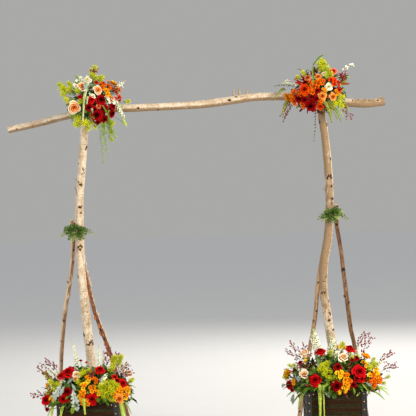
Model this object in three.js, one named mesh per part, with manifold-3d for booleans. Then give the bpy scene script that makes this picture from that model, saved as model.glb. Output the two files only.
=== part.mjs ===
// A birch-pole wedding archway: a wavy beam on two tripods of poles, with a bouquet at each joint
// and a slatted crate of flowers at each foot. Millimetres, +Z up, +Y away from the viewer.
// The origin is on the floor, under the middle of the beam.
import * as THREE from 'three';
import { mergeVertices } from 'three/addons/utils/BufferGeometryUtils.js';
import Module from 'manifold-3d';

const wasm = await Module();
wasm.setup();

// Clearance between pieces that touch, and the grid on which shared corners are merged.
const TOUCH = 0.3;
const MERGE = 1e-4;

// Poles: each route runs from the floor (or the left end) to the top (or the right end).
const POLE_SIDES = 9;
const BARK_SWELL = 0.035;
const POLES = {
  left_main_post: {
    route: [[-714, -164, 0], [-714, -139, 350], [-719, -121, 560], [-742, -101, 845], [-768, -78, 1170],
      [-773, -61, 1380], [-769, -42, 1625], [-745, -24, 1875], [-728, -9, 2070], [-731, 0, 2182]],
    root: 31, tip: 25, rings: 17, color: '#e6dccd',
  },
  right_main_post: {
    route: [[846, 22, 0], [847, 22, 280], [843, 20, 540], [809, 13, 825], [789, 12, 1003], [799, 10, 1182],
      [831, 9, 1359], [846, 6, 1600], [838, 4, 1860], [828, 2, 1985], [812, 1, 2128], [808, 0, 2216]],
    root: 31, tip: 24, rings: 19, color: '#e6dccd',
  },
  top_beam: {
    route: [[-1220, 6, 2096], [-1039, 2, 2130], [-856, -2, 2170], [-719, 0, 2193], [-589, 4, 2209],
      [-324, 8, 2214], [13, 2, 2221], [208, -4, 2239], [384, -6, 2258], [578, -2, 2256], [739, 0, 2235],
      [991, 4, 2203], [1120, 6, 2196], [1220, 4, 2206]],
    root: 22, tip: 28, rings: 20, color: '#e9dfd1',
  },
  left_outer_leg: {
    route: [[-1010, 515, 0], [-957, 297, 560], [-934, 229, 735], [-904, 160, 911], [-864, 94, 1080],
      [-832, 26, 1249], [-819, -22, 1376], [-817, -46, 1425], [-822, -74, 1500]],
    root: 15, tip: 13, rings: 11, color: '#a9825c',
  },
  left_inner_leg: {
    route: [[-500, 518, 0], [-628, 300, 600], [-678, 235, 768], [-715, 186, 901], [-745, 122, 1074],
      [-765, 66, 1215], [-779, 10, 1365], [-790, -12, 1425], [-812, -26, 1482]],
    root: 15, tip: 13, rings: 11, color: '#9a5a3c',
  },
  right_outer_leg: {
    route: [[1112, 516, 0], [1004, 308, 627], [985, 272, 704], [961, 214, 894], [938, 152, 1080],
      [915, 92, 1265], [892, 44, 1401], [887, 14, 1480], [887, -8, 1546]],
    root: 15, tip: 13, rings: 11, color: '#9c7656',
  },
  right_inner_leg: {
    route: [[618, 518, 0], [641, 478, 130], [712, 329, 596], [734, 293, 710], [753, 247, 851],
      [770, 187, 1038], [820, 98, 1317], [867, 47, 1480], [884, 30, 1530]],
    root: 15, tip: 13, rings: 11, color: '#b28b66',
  },
};
const FLOOR_CUT = 60;

// Sawn-off twigs on the beam: distance along X, lean and height.
const STUBS = [[250, -8, 34], [288, 6, 40], [332, 10, 30]];
const STUB_RADIUS = 7;

// Rope lashings.
const ROPE_WALL = 7;
const LEG_LASHING = { left: 1422, right: 1480, halfHeight: 30 };
const PAD = { reach: [66, 16, 42], sink: 6, leaves: [[-86, 34], [84, 44], [72, -46], [-70, -52]] };
const BEAM_LASHING = { left: -730, right: 808, halfLength: 34, drop: 85 };

// Crates: outer size of the slatted box, its slats, corner posts and metal corner straps.
const CRATE = { width: 377, depth: 300, height: 379 };
const SLAT = { count: 8, height: 38, thick: 12 };
const CORNER_POST = 20;
const BOARD = { thick: 10, lift: 10 };
const STRAP = { leg: 34, thick: 1.6 };
const LINER_CLEAR = 1.5;
const CRATE_X = { left: -716, right: 823 };

// Flower stems, and the share of a dome's reach at which heads and foliage sit.
const STEM = { radius: 2.5, sides: 3, hub: 7, gap: 1 };
const HEAD_SIT = 0.93;
const MOUND_SIZE = 0.64;
const BACK_REACH = 0.72;
const HUB_STEP = 24;

// The four arrangements. A dome has a heart and a reach; blooms are [across, up, radius] on its front,
// sprigs are [across, up, tip across, tip up, thickness], hangers are the same and droop.
const DOMES = {
  left_bouquet: {
    heart: [-705, -60, 2255], reach: [200, 160, 175], axis: 'y',
    red_roses: [[105, 0, 33], [62, -88, 33], [148, -78, 30], [42, -30, 26], [112, 118, 22], [-75, 112, 22]],
    peach_roses: [[-68, -45, 40], [82, 66, 28], [-12, 88, 29], [-140, 30, 22]],
    lilies: [[138, 105, 28], [176, 40, 30], [-100, 68, 24], [-5, 20, 24], [-10, -118, 24]],
    sprigs: [[150, -25, 235, -70, 8], [30, 140, -45, 185, 8], [200, 90, 255, 140, 8]],
    tufts: [[-165, 75, 24], [-115, -5, 22], [40, 160, 26], [-45, -135, 26], [30, -150, 24], [190, -100, 24]],
    hangers: [[5, -70, -25, -165, 9], [130, -100, 125, -340, 8], [92, -125, 96, -400, 7], [215, -50, 240, -185, 6]],
  },
  right_bouquet: {
    heart: [810, -60, 2280], reach: [210, 160, 180], axis: 'y',
    red_roses: [[-75, -100, 37], [-142, 72, 28], [72, 112, 26], [-6, -105, 24], [-160, -45, 26]],
    peach_roses: [[-10, -42, 28], [62, -52, 28], [-82, 80, 24], [32, 12, 26], [-20, 85, 22]],
    lilies: [[-108, 8, 34], [-200, -20, 26], [-45, 30, 24], [95, 52, 28], [125, -20, 24]],
    sprigs: [[-200, 40, -265, 68, 8], [135, 95, 195, 165, 8], [110, -100, 180, -180, 8]],
    tufts: [[10, 155, 28], [40, 70, 22], [52, -120, 26], [170, 30, 24], [-100, 130, 24], [-125, -110, 24]],
    hangers: [[20, -130, 40, -195, 8], [85, -115, 118, -205, 8], [-210, -60, -245, -135, 7], [-55, -130, -60, -320, 7]],
  },
  left_planter: {
    reach: [300, 178, 235], axis: 'z',
    red_roses: [[-122, 190, 35], [-182, 155, 26], [75, 195, 31], [-145, 45, 31], [-108, 95, 24], [30, 38, 35],
      [205, 108, 29], [-255, 30, 30]],
    peach_roses: [[-66, 165, 24], [185, 32, 31], [228, 152, 24]],
    lilies: [[-22, 112, 24], [42, 100, 25], [-30, 55, 23], [245, 60, 24], [130, 62, 25], [35, 165, 22]],
    sprigs: [[-80, 225, -105, 370, 10], [-48, 228, -60, 310, 9], [105, 215, 98, 320, 9], [-225, 90, -300, 180, 8],
      [160, 200, 185, 280, 8], [-215, 160, -270, 245, 7], [188, 190, 240, 240, 7]],
    tufts: [[118, 118, 32], [165, 170, 26], [-250, 110, 26], [90, 25, 24], [-80, 25, 26], [0, 210, 26]],
    hangers: [[-25, 45, -12, -45, 9], [-205, 35, -238, -140, 9], [-165, 22, -172, -130, 9], [195, 10, 208, -185, 9]],
  },
  right_planter: {
    reach: [310, 178, 250], axis: 'z',
    red_roses: [[-82, 225, 34], [120, 225, 36], [150, 115, 44], [-130, 75, 38], [-5, 35, 36], [12, 152, 26],
      [-285, 42, 26]],
    peach_roses: [[-172, 205, 30], [-205, 110, 32], [55, 198, 30]],
    lilies: [[18, 98, 25], [70, 62, 24], [212, 175, 30], [270, 60, 34], [-272, 102, 26], [-60, 140, 24]],
    sprigs: [[-125, 225, -115, 375, 10], [-40, 235, -20, 340, 10], [-225, 150, -258, 200, 8], [290, 130, 345, 200, 7],
      [-200, 190, -268, 290, 7], [165, 205, 225, 320, 7]],
    tufts: [[85, 250, 26], [-300, 75, 26], [-65, 70, 24], [240, 118, 26], [205, 20, 24], [-110, 165, 26]],
    hangers: [[-105, 30, -110, -210, 10], [-75, 25, -80, -195, 9], [-225, 25, -305, -45, 7], [245, 10, 320, -70, 7]],
  },
};
const KINDS = ['red_roses', 'peach_roses', 'lilies', 'sprigs'];
const COLORS = {
  rope: '#a88d5f', sage: '#6f8a3c', slat: '#3b2a21', board: '#4a382c', liner: '#26402a',
  strap: '#2b2a2a', greens: '#5f7f2e', red_roses: '#a3101c', peach_roses: '#f0b183', lilies: '#e8791c', sprigs: '#efe6cf',
};

const group = new THREE.Group();
const vector = (place) => new THREE.Vector3(...place);

// A three.js geometry as a solid, with its faces turned outwards.
function toSolid(geometry) {
  const bare = new THREE.BufferGeometry().setAttribute('position', geometry.getAttribute('position'));
  bare.setIndex(geometry.getIndex());
  const merged = mergeVertices(bare, MERGE);
  const corners = merged.getIndex().array;
  const faces = [];
  for (let i = 0; i < corners.length; i += 3) {
    const [a, b, c] = corners.slice(i, i + 3);
    if (a !== b && b !== c && c !== a) faces.push(a, b, c);
  }
  const build = (order) => new wasm.Manifold(new wasm.Mesh({
    numProp: 3, vertProperties: merged.getAttribute('position').array, triVerts: Uint32Array.from(order),
  }));
  const body = build(faces);
  return body.volume() < 0 ? build(faces.reverse()) : body;
}

const joined = (bodies) => bodies.reduce((sum, body) => sum.add(body));
const cut = (body, tools) => tools.reduce((rest, tool) => rest.subtract(tool), body);
const largest = (body) => body.decompose().reduce((best, part) => (part.volume() > best.volume() ? part : best));

// Adds a solid to the group as a named mesh.
function place(name, body, color, roughness = 0.85, metalness = 0) {
  const { vertProperties, triVerts } = body.getMesh();
  const geometry = new THREE.BufferGeometry();
  geometry.setAttribute('position', new THREE.BufferAttribute(Float32Array.from(vertProperties), 3));
  geometry.setIndex(new THREE.BufferAttribute(Uint32Array.from(triVerts), 1));
  geometry.computeVertexNormals();
  const mesh = new THREE.Mesh(geometry, new THREE.MeshStandardMaterial({ color, roughness, metalness }));
  mesh.name = name;
  group.add(mesh);
}

function box(low, high) {
  const size = high.map((value, axis) => value - low[axis]);
  const middle = high.map((value, axis) => (value + low[axis]) / 2);
  return toSolid(new THREE.BoxGeometry(...size).translate(...middle));
}

// A round limb through the given points, with a radius at each: a lathe whose rings are moved to them.
function limb(points, radii, sides, facing = [0, -1, 0.01]) {
  const profile = radii.map((radius, ring) => new THREE.Vector2(radius, ring));
  const geometry = new THREE.LatheGeometry(
    [new THREE.Vector2(0, 0), ...profile, new THREE.Vector2(0, radii.length - 1)], sides);
  const frames = [];
  let side = vector(facing);
  points.forEach((point, ring) => {
    const ahead = points[Math.min(ring + 1, points.length - 1)];
    const behind = points[Math.max(ring - 1, 0)];
    const along = ahead.clone().sub(behind).normalize();
    side = side.clone().addScaledVector(along, -side.dot(along)).normalize();
    frames.push({ point, side, across: along.clone().cross(side) });
  });
  const position = geometry.getAttribute('position');
  for (let i = 0; i < position.count; i++) {
    const { point, side: outward, across } = frames[Math.round(position.getY(i))];
    const spot = point.clone().addScaledVector(outward, position.getZ(i)).addScaledVector(across, position.getX(i));
    position.setXYZ(i, spot.x, spot.y, spot.z);
  }
  return toSolid(geometry);
}

// A natural pole: points spaced along its route, tapered, with slight swellings. grow adds to its radius.
function pole({ route, root, tip, rings }, grow = 0) {
  const curve = new THREE.CatmullRomCurve3(route.map(vector), false, 'centripetal');
  const points = curve.getSpacedPoints(rings);
  const radii = points.map((_, ring) => {
    const along = ring / rings;
    const swell = 1 + BARK_SWELL * Math.sin(Math.PI * along * rings / 2.5) * Math.sin(Math.PI * along);
    return THREE.MathUtils.lerp(root, tip, along) * swell + grow;
  });
  return { points, radii };
}

// A standing pole goes a little below the floor first, and is then cut level with it.
function poleBody(name, grow = 0) {
  const { points, radii } = pole(POLES[name], grow);
  if (name === 'top_beam') return limb(points, radii, POLE_SIDES);
  const below = points[0].clone().addScaledVector(points[1].clone().sub(points[0]).normalize(), -FLOOR_CUT);
  const under = box([-2000, -1000, -FLOOR_CUT * 3], [2000, 1000, 0]);
  return limb([below, ...points], [radii[0], ...radii], POLE_SIDES).subtract(under);
}

// The point of a pole's middle line at a height, or for the beam at a distance along X.
function poleAt(name, value, axis = 'z') {
  const { points, radii } = pole(POLES[name]);
  const next = Math.max(1, points.findIndex((point) => point[axis] >= value));
  const share = (value - points[next - 1][axis]) / (points[next][axis] - points[next - 1][axis]);
  return { point: points[next - 1].clone().lerp(points[next], share), radius: radii[next] };
}

const grownPole = Object.fromEntries(Object.keys(POLES).map((name) => [name, poleBody(name, TOUCH)]));

function addPoles() {
  for (const name of Object.keys(POLES)) {
    let body = poleBody(name);
    if (name.endsWith('main_post')) body = largest(body.subtract(grownPole.top_beam));
    if (name === 'top_beam') body = joined([body, ...stubs()]);
    place(name, body, POLES[name].color, 0.8);
  }
}

function stubs() {
  return STUBS.map(([x, lean, height]) => {
    const { point, radius } = poleAt('top_beam', x, 'x');
    const end = point.clone().add(new THREE.Vector3(lean, 0, radius + height));
    return limb([point, end], [STUB_RADIUS, STUB_RADIUS * 0.8], 6);
  });
}

// A sleeve of rope round a stretch of a pole, measured along the given axis.
function sleeve(name, axis, from, to, grow) {
  const [low, high] = [poleAt(name, from - grow, axis), poleAt(name, to + grow, axis)];
  const wide = ROPE_WALL + grow;
  return limb([low.point, high.point], [low.radius + wide, high.radius + wide], POLE_SIDES);
}

// Rope wound round the post and both legs: one sleeve for each of the three.
function legSleeves(side, grow = 0) {
  const [low, high] = [-1, 1].map((end) => LEG_LASHING[side] + end * LEG_LASHING.halfHeight);
  return legNames(side).map((name) => sleeve(name, 'z', low, high, grow));
}

// Rope wound round the beam and round the top of the post below it.
function beamSleeves(side, grow = 0) {
  const middle = BEAM_LASHING[side];
  const { point, radius } = poleAt('top_beam', middle, 'x');
  return [
    sleeve('top_beam', 'x', middle - BEAM_LASHING.halfLength, middle + BEAM_LASHING.halfLength, grow),
    sleeve(`${side}_main_post`, 'z', point.z - BEAM_LASHING.drop, point.z - radius / 2, grow),
  ];
}

const legNames = (side) => ['main_post', 'outer_leg', 'inner_leg'].map((part) => `${side}_${part}`);
const lashing = (sleeves, poles) => largest(cut(joined(sleeves), poles.map((name) => grownPole[name])));

// A lumpy ball of foliage about a centre.
function mound(centre, reach, around = 11, rows = 7, lumps = 0.08) {
  const geometry = new THREE.SphereGeometry(1, around, rows);
  const position = geometry.getAttribute('position');
  for (let i = 0; i < position.count; i++) {
    const spot = new THREE.Vector3().fromBufferAttribute(position, i);
    const lump = 1 + lumps * Math.sin(5 * spot.x + 2) * Math.cos(4 * spot.z + 1) + lumps * Math.sin(6 * spot.y);
    spot.multiplyScalar(lump).multiply(vector(reach)).add(vector(centre));
    position.setXYZ(i, spot.x, spot.y, spot.z);
  }
  return toSolid(geometry);
}

// Leafy sprigs tied to the front of a leg lashing: a flat pad of leaves that spread sideways and down.
function lashingGreens(side, tools) {
  const { point, radius } = poleAt(`${side}_main_post`, LEG_LASHING[side]);
  const shift = side === 'left' ? -24 : 8;
  const heart = point.clone().add(new THREE.Vector3(shift, -radius - ROPE_WALL - PAD.reach[1] + PAD.sink, 0));
  const leaves = PAD.leaves.map(([across, up]) => {
    const tip = heart.clone().add(new THREE.Vector3(across, 2, up));
    return limb([heart, heart.clone().lerp(tip, 0.7), tip], [9, 12, 4], 4, [0.2, 0.3, 1]);
  });
  return largest(cut(joined([mound(heart.toArray(), PAD.reach, 9, 5), ...leaves]), tools));
}

// Distance between two straight runs, each given by its ends.
function runDistance([a, b], [c, d]) {
  const first = b.clone().sub(a);
  const second = d.clone().sub(c);
  const apart = a.clone().sub(c);
  const [ff, ss, fs] = [first.dot(first), second.dot(second), first.dot(second)];
  const [fa, sa] = [first.dot(apart), second.dot(apart)];
  const clamp = (value) => Math.min(1, Math.max(0, value));
  const level = ff * ss - fs * fs;
  let s = level > 1e-6 ? clamp((fs * sa - fa * ss) / level) : 0;
  const t = ss > 1e-6 ? clamp((fs * s + sa) / ss) : 0;
  s = ff > 1e-6 ? clamp((fs * t - fa) / ff) : 0;
  return apart.addScaledVector(first, s).addScaledVector(second, -t).length();
}

// The place of a bloom on a dome's surface, and the way it faces. Blooms on the back mirror the front ones.
function seat(dome, across, up, back) {
  const [rx, ry, rz] = dome.reach;
  const rise = Math.sqrt(Math.max(0, 1 - (across / rx) ** 2 - (up / rz) ** 2));
  const deep = ry * rise * (back ? BACK_REACH : -1);
  const x = back ? -across : across;
  const offset = new THREE.Vector3(x, deep, up).multiplyScalar(HEAD_SIT);
  const outward = new THREE.Vector3(x / rx ** 2, deep / ry ** 2, up / rz ** 2).normalize();
  return { spot: vector(dome.heart).add(offset), outward };
}

// A stem's run from a head to its hub: its knee is swung round the dome's axis until it clears the others.
function stemRun(dome, from, hub, taken) {
  const axis = dome.axis === 'y' ? new THREE.Vector3(0, 1, 0) : new THREE.Vector3(0, 0, 1);
  const out = from.clone().sub(hub);
  const along = out.dot(axis);
  const radial = out.clone().addScaledVector(axis, -along);
  const reach = radial.length();
  const unit = reach > 1 ? radial.normalize() : new THREE.Vector3(1, 0, 0);
  const clears = (runs) => taken.every(({ run, radius }) => runs.every((mine) =>
    runDistance(mine, run) > radius + STEM.radius + STEM.gap));
  if (clears([[from, hub]])) return [from, hub];
  for (const spread of [0.42, 0.55, 0.3, 0.7]) {
    for (const swing of [0, 0.12, -0.12, 0.25, -0.25, 0.4, -0.4, 0.6, -0.6, 0.85, -0.85]) {
      for (const share of [0.4, 0.25, 0.55]) {
        const knee = hub.clone().addScaledVector(axis, along * share)
          .addScaledVector(unit.clone().applyAxisAngle(axis, swing), Math.max(18, reach * spread));
        if (clears([[from, knee], [knee, hub]])) return [from, knee, hub];
      }
    }
  }
  throw new Error(`no clear way for the stem at ${from.toArray().map(Math.round)}`);
}

// Flower heads, each a limb along the way it faces, as shares of its radius.
const HEAD_SHAPES = {
  red_roses: { steps: [-0.7, 0.1, 0.7], widths: [0.5, 1, 0.6], sides: 7 },
  peach_roses: { steps: [-0.7, 0.1, 0.7], widths: [0.5, 1, 0.6], sides: 7 },
  lilies: { steps: [-0.9, -0.2, 0.35], widths: [0.18, 0.55, 1], sides: 6 },
};

function head(kind, spot, outward, radius, grow) {
  const { steps, widths, sides } = HEAD_SHAPES[kind];
  const points = steps.map((step, k) => spot.clone().addScaledVector(outward,
    step * radius + (k === 0 ? -grow : 0) + (k === steps.length - 1 ? grow : 0)));
  return limb(points, widths.map((width) => width * radius + grow), sides, [0.3, 0.2, 1]);
}

// A spike or twig of small flowers or berries, from its root to its tip.
function spike(root, tip, thick, grow) {
  const points = [0, 0.4, 1].map((share) => root.clone().lerp(tip, share));
  return limb(points, [0.5, 1, 0.3].map((share) => share * thick + grow), 4, [0.3, 0.2, 1]);
}

// The heads of one kind in one arrangement: where each sits, and what it needs clear around it.
function seats(dome, kind) {
  if (kind === 'sprigs') {
    return dome.sprigs.map(([across, up, tipAcross, tipUp, thick]) => {
      const root = seat(dome, across, up, false).spot;
      const tip = seat(dome, tipAcross, tipUp, false).spot.setX(dome.heart[0] + tipAcross).setZ(dome.heart[2] + tipUp);
      return { from: root, tip, thick };
    });
  }
  const front = dome[kind].map(([across, up, radius]) => ({ ...seat(dome, across, up, false), radius }));
  const least = dome.axis === 'y' ? 60 : 30;
  const back = dome[kind].filter(([across, up, radius]) => radius > 28 && up > least && Math.abs(across) > 60)
    .map(([across, up, radius]) => ({ ...seat(dome, across, up, true), radius: radius * 0.9 }));
  return [...front, ...back].map((bloom) => ({ ...bloom, from: bloom.spot }));
}

// One kind of flower: its heads on stems that meet at a hub in the foliage.
function posy(dome, kind, taken) {
  const rank = KINDS.indexOf(kind);
  const hub = hubPlace(dome, rank);
  const blooms = seats(dome, kind).map((bloom) => ({ ...bloom, stem: stemRun(dome, bloom.from, hub, taken) }));
  const body = (grow) => joined([
    toSolid(new THREE.OctahedronGeometry(STEM.hub + grow, 0).translate(...hub.toArray())),
    ...blooms.map(({ stem }) => limb(stem, stem.map(() => STEM.radius + grow), STEM.sides, [0.3, 0.2, 1])),
    ...blooms.map(({ spot, outward, radius, tip, thick, from }) => (tip
      ? spike(from, tip, thick, grow)
      : head(kind, spot, outward, radius, grow))),
  ]);
  const room = blooms.flatMap(({ stem, spot, radius }) => [
    ...stem.slice(1).map((end, k) => ({ run: [stem[k], end], radius: STEM.radius })),
    ...(radius ? [{ run: [spot, spot], radius: radius * 0.8 }] : []),
  ]);
  return { body, room: [...room, { run: [hub, hub], radius: STEM.hub }] };
}

// Hubs lie one after another on the dome's axis, inside the foliage.
function hubPlace(dome, rank) {
  const [x, y, z] = dome.heart;
  if (dome.axis === 'y') return new THREE.Vector3(x, y - 62 + rank * HUB_STEP, z - 8);
  return new THREE.Vector3(x, y, z + 30 + rank * HUB_STEP);
}

// Soft green masses and drooping tassels that belong to the foliage.
function foliage(dome) {
  const tufts = dome.tufts.flatMap(([across, up, radius], turn) => {
    const spots = [seat(dome, across, up, false).spot];
    if (turn % 3 === 1) spots.push(seat(dome, across, Math.max(up, 70), true).spot);
    return spots.map((spot) => limb([0.55, 0.95, 1.12].map((share) => vector(dome.heart).lerp(spot, share)),
      [radius * 0.8, radius, radius * 0.4], 5));
  });
  const hangers = dome.hangers.map(([across, up, tipAcross, tipUp, thick]) => {
    const root = seat(dome, across, up, false).spot;
    const lip = root.clone().add(new THREE.Vector3((tipAcross - across) * 0.15, -14, 4));
    const tip = new THREE.Vector3(dome.heart[0] + tipAcross, lip.y - 2, dome.heart[2] + tipUp);
    return limb([vector(dome.heart).lerp(root, 0.5), root, lip, tip], [thick, thick, thick, thick * 0.5], 4);
  });
  const size = dome.reach.map((value) => value * MOUND_SIZE);
  return joined([mound(dome.heart, size), ...tufts, ...hangers]);
}

// A whole arrangement: the posies are cut clear of each other, then the foliage of all of them.
function addArrangement(name, dome, obstacles, keepOut) {
  const taken = [...obstacles];
  const grown = [];
  for (const kind of KINDS) {
    const { body, room } = posy(dome, kind, taken);
    place(`${name}_${kind}`, largest(cut(body(0), [...grown, ...keepOut])), COLORS[kind], 0.7);
    grown.push(body(TOUCH));
    taken.push(...room);
  }
  place(`${name}_greens`, largest(cut(foliage(dome), [...grown, ...keepOut])), COLORS.greens, 0.8);
}

// The crate's own room, which foliage and its tassels stay out of.
function crateRoom(dome) {
  const [x, y, z] = dome.heart;
  const side = STRAP.thick + 3 * TOUCH;
  return box([x - CRATE.width / 2 - side, y - CRATE.depth / 2 - side, -10],
    [x + CRATE.width / 2 + side, y + CRATE.depth / 2 + side, z + TOUCH]);
}

// A slatted wall of the crate: slats between two corner posts, with open gaps from post to post.
function slatPanel(length) {
  const pitch = (CRATE.height - SLAT.height) / (SLAT.count - 1);
  const outline = (left, low, right, high) =>
    [[left, low], [right, low], [right, high], [left, high]].map(([x, z]) => new THREE.Vector2(x, z));
  const panel = new THREE.Shape(outline(-length / 2, 0, length / 2, CRATE.height));
  for (let gap = 1; gap < SLAT.count; gap++) {
    const low = (gap - 1) * pitch + SLAT.height;
    panel.holes.push(new THREE.Path(outline(-length / 2 + CORNER_POST, low, length / 2 - CORNER_POST, gap * pitch)));
  }
  const geometry = new THREE.ExtrudeGeometry(panel, { depth: SLAT.thick, bevelEnabled: false });
  return toSolid(geometry.rotateX(Math.PI / 2).translate(0, SLAT.thick, 0));
}

// An angled metal strap that wraps one upright corner of the crate.
function cornerStrap(signX, signY) {
  const [halfX, halfY] = [CRATE.width / 2 + TOUCH, CRATE.depth / 2 + TOUCH];
  const outline = new THREE.Shape([[0, 0], [-STRAP.leg, 0], [-STRAP.leg, -STRAP.thick],
    [-STRAP.thick, -STRAP.thick], [-STRAP.thick, -STRAP.leg], [0, -STRAP.leg]].map(([x, y]) => new THREE.Vector2(
    signX * (halfX + STRAP.thick + x), signY * (halfY + STRAP.thick + y))));
  return toSolid(new THREE.ExtrudeGeometry(outline, { depth: CRATE.height, bevelEnabled: false }));
}

function addCrate(side, centre) {
  const name = `${side}_crate`;
  const put = (part, body, color, roughness, metalness) =>
    place(`${name}_${part}`, body.translate([centre.x, centre.y, 0]), color, roughness, metalness);
  const [halfX, halfY] = [CRATE.width / 2, CRATE.depth / 2];
  const face = slatPanel(CRATE.width);
  const flank = slatPanel(CRATE.depth - 2 * SLAT.thick - 2 * TOUCH);
  put('front', face.translate([0, -halfY, 0]), COLORS.slat, 0.75);
  put('back', face.rotate([0, 0, 180]).translate([0, halfY, 0]), COLORS.slat, 0.75);
  put('left_side', flank.rotate([0, 0, -90]).translate([-halfX, 0, 0]), COLORS.slat, 0.75);
  put('right_side', flank.rotate([0, 0, 90]).translate([halfX, 0, 0]), COLORS.slat, 0.75);
  const [inX, inY] = [halfX - SLAT.thick - TOUCH, halfY - SLAT.thick - TOUCH];
  put('bottom', box([-inX, -inY, BOARD.lift], [inX, inY, BOARD.lift + BOARD.thick]), COLORS.board, 0.85);
  const [linerX, linerY] = [inX - LINER_CLEAR, inY - LINER_CLEAR];
  const base = BOARD.lift + BOARD.thick + TOUCH;
  put('liner', box([-linerX, -linerY, base], [linerX, linerY, CRATE.height - TOUCH]), COLORS.liner, 0.6);
  for (const [end, signY] of [['front', -1], ['back', 1]]) {
    for (const [hand, signX] of [['left', -1], ['right', 1]]) {
      put(`${end}_${hand}_strap`, cornerStrap(signX, signY), COLORS.strap, 0.45, 0.8);
    }
  }
}

// Room of a pole near an arrangement, as straight runs between its points.
function poleRoom(names) {
  return names.flatMap((name) => {
    const { points, radii } = pole(POLES[name]);
    return points.slice(1).map((point, k) => ({ run: [points[k], point], radius: radii[k] + ROPE_WALL + TOUCH }));
  });
}

function addSide(side) {
  const post = `${side}_main_post`;
  const legs = legNames(side);
  place(`${side}_leg_lashing`, lashing(legSleeves(side), legs), COLORS.rope, 0.95);
  place(`${side}_beam_lashing`, lashing(beamSleeves(side), ['top_beam', post]), COLORS.rope, 0.95);
  const clearOfLegs = [...legs.map((name) => grownPole[name]), ...legSleeves(side, TOUCH)];
  place(`${side}_lashing_greens`, lashingGreens(side, clearOfLegs), COLORS.sage, 0.8);
  addArrangement(`${side}_bouquet`, DOMES[`${side}_bouquet`], poleRoom([post, 'top_beam']),
    [grownPole.top_beam, grownPole[post], ...beamSleeves(side, TOUCH)]);

  const { route, root } = POLES[post];
  const centre = { x: CRATE_X[side], y: route[0][1] - root - 2 * TOUCH - CRATE.depth / 2 };
  addCrate(side, centre);
  const planter = { ...DOMES[`${side}_planter`], heart: [centre.x, centre.y, CRATE.height] };
  addArrangement(`${side}_planter`, planter, poleRoom([post]), [grownPole[post], crateRoom(planter)]);
}

addPoles();
addSide('left');
addSide('right');

export default group;
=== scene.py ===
"""A birch-pole wedding archway: bark, twine, crates, flowers and leaves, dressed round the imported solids."""

from math import cos, pi, radians, sin, sqrt
from random import Random

import bpy
import numpy as np
from mathutils import Matrix, Vector, noise


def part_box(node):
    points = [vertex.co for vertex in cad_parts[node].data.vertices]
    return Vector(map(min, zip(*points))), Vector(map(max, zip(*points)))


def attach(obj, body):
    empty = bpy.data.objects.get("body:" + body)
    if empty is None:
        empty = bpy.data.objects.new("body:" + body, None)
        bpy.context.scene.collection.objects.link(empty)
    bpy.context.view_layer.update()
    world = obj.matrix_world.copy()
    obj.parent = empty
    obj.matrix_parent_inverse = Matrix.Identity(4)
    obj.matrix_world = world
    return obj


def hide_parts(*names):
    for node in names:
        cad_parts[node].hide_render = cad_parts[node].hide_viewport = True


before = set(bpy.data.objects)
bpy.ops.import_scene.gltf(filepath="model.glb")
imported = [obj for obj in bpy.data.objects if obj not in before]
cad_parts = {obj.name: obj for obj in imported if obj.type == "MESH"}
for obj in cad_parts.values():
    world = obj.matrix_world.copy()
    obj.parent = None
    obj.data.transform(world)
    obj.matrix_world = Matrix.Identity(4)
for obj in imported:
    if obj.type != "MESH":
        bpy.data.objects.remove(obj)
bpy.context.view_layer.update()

MM = 0.001
GOLDEN = radians(137.508)  # turn from one petal or leaf to the next
FRONT = np.array([0.0, -1.0, 0.01])
UP = np.array([0.0, 0.0, 1.0])


class Draw(Random):
    """Seeded chances: draw(a, b) gives a number from a to b, draw(a) from -a to a, draw() from 0 to 1."""

    def __call__(self, low=None, high=None):
        if low is None:
            return self.random()
        return self.uniform(-low, low) if high is None else self.uniform(low, high)


# Shader values.
def join(tree, value, socket):
    """Links a value to a socket, or sets the socket; a colour may be three numbers."""
    if isinstance(value, Value):
        tree.links.new(value.socket, socket)
    else:
        socket.default_value = (*value, 1.0) if socket.type == "RGBA" and len(value) == 3 else value


def node(tree, kind, inputs, **settings):
    made = tree.nodes.new("ShaderNode" + kind)
    for key, value in settings.items():
        setattr(made, key, value)
    for key, value in inputs.items():
        join(tree, value, made.inputs[key])
    return made


def wire(tree, kind, inputs, output=0, **settings):
    """Adds a shader node and gives one of its outputs."""
    return Value(tree, node(tree, kind, inputs, **settings).outputs[output])


class Value:
    """A value in a shader tree; sums and products of values become nodes."""

    def __init__(self, tree, socket):
        self.tree, self.socket = tree, socket

    def sum_up(self, operation, *others):
        return wire(self.tree, "Math", dict(enumerate((self, *others))), operation=operation)

    def __add__(self, other):
        return self.sum_up("ADD", other)

    def __sub__(self, other):
        return self.sum_up("SUBTRACT", other)

    def __mul__(self, other):
        if isinstance(other, tuple):
            return wire(self.tree, "VectorMath", {0: self, 1: other}, operation="MULTIPLY")
        return self.sum_up("MULTIPLY", other)

    def noise(self, detail=3.0, roughness=0.55, scale=1.0):
        inputs = {"Vector": self, "Scale": scale, "Detail": detail, "Roughness": roughness}
        return wire(self.tree, "TexNoise", inputs, "Fac")

    def step(self, low, high, start=0.0, end=1.0):
        """A smooth step: start below low, end above high."""
        inputs = {"Value": self, "From Min": low, "From Max": high, "To Min": start, "To Max": end}
        return wire(self.tree, "MapRange", inputs, interpolation_type="SMOOTHSTEP")

    def parts(self):
        return [Value(self.tree, part) for part in node(self.tree, "SeparateXYZ", {0: self}).outputs]


def mix(share, first, second, mode="MIX"):
    """The first colour where the share is 0, the second where it is 1."""
    tree = next(value.tree for value in (share, first, second) if isinstance(value, Value))
    return wire(tree, "Mix", {0: share, 6: first, 7: second}, 2, data_type="RGBA", blend_type=mode)


COLOURS = ("Colour", "Heart", "Body", "Rim", "Fold", "Blade", "Young", "Vein")


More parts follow.
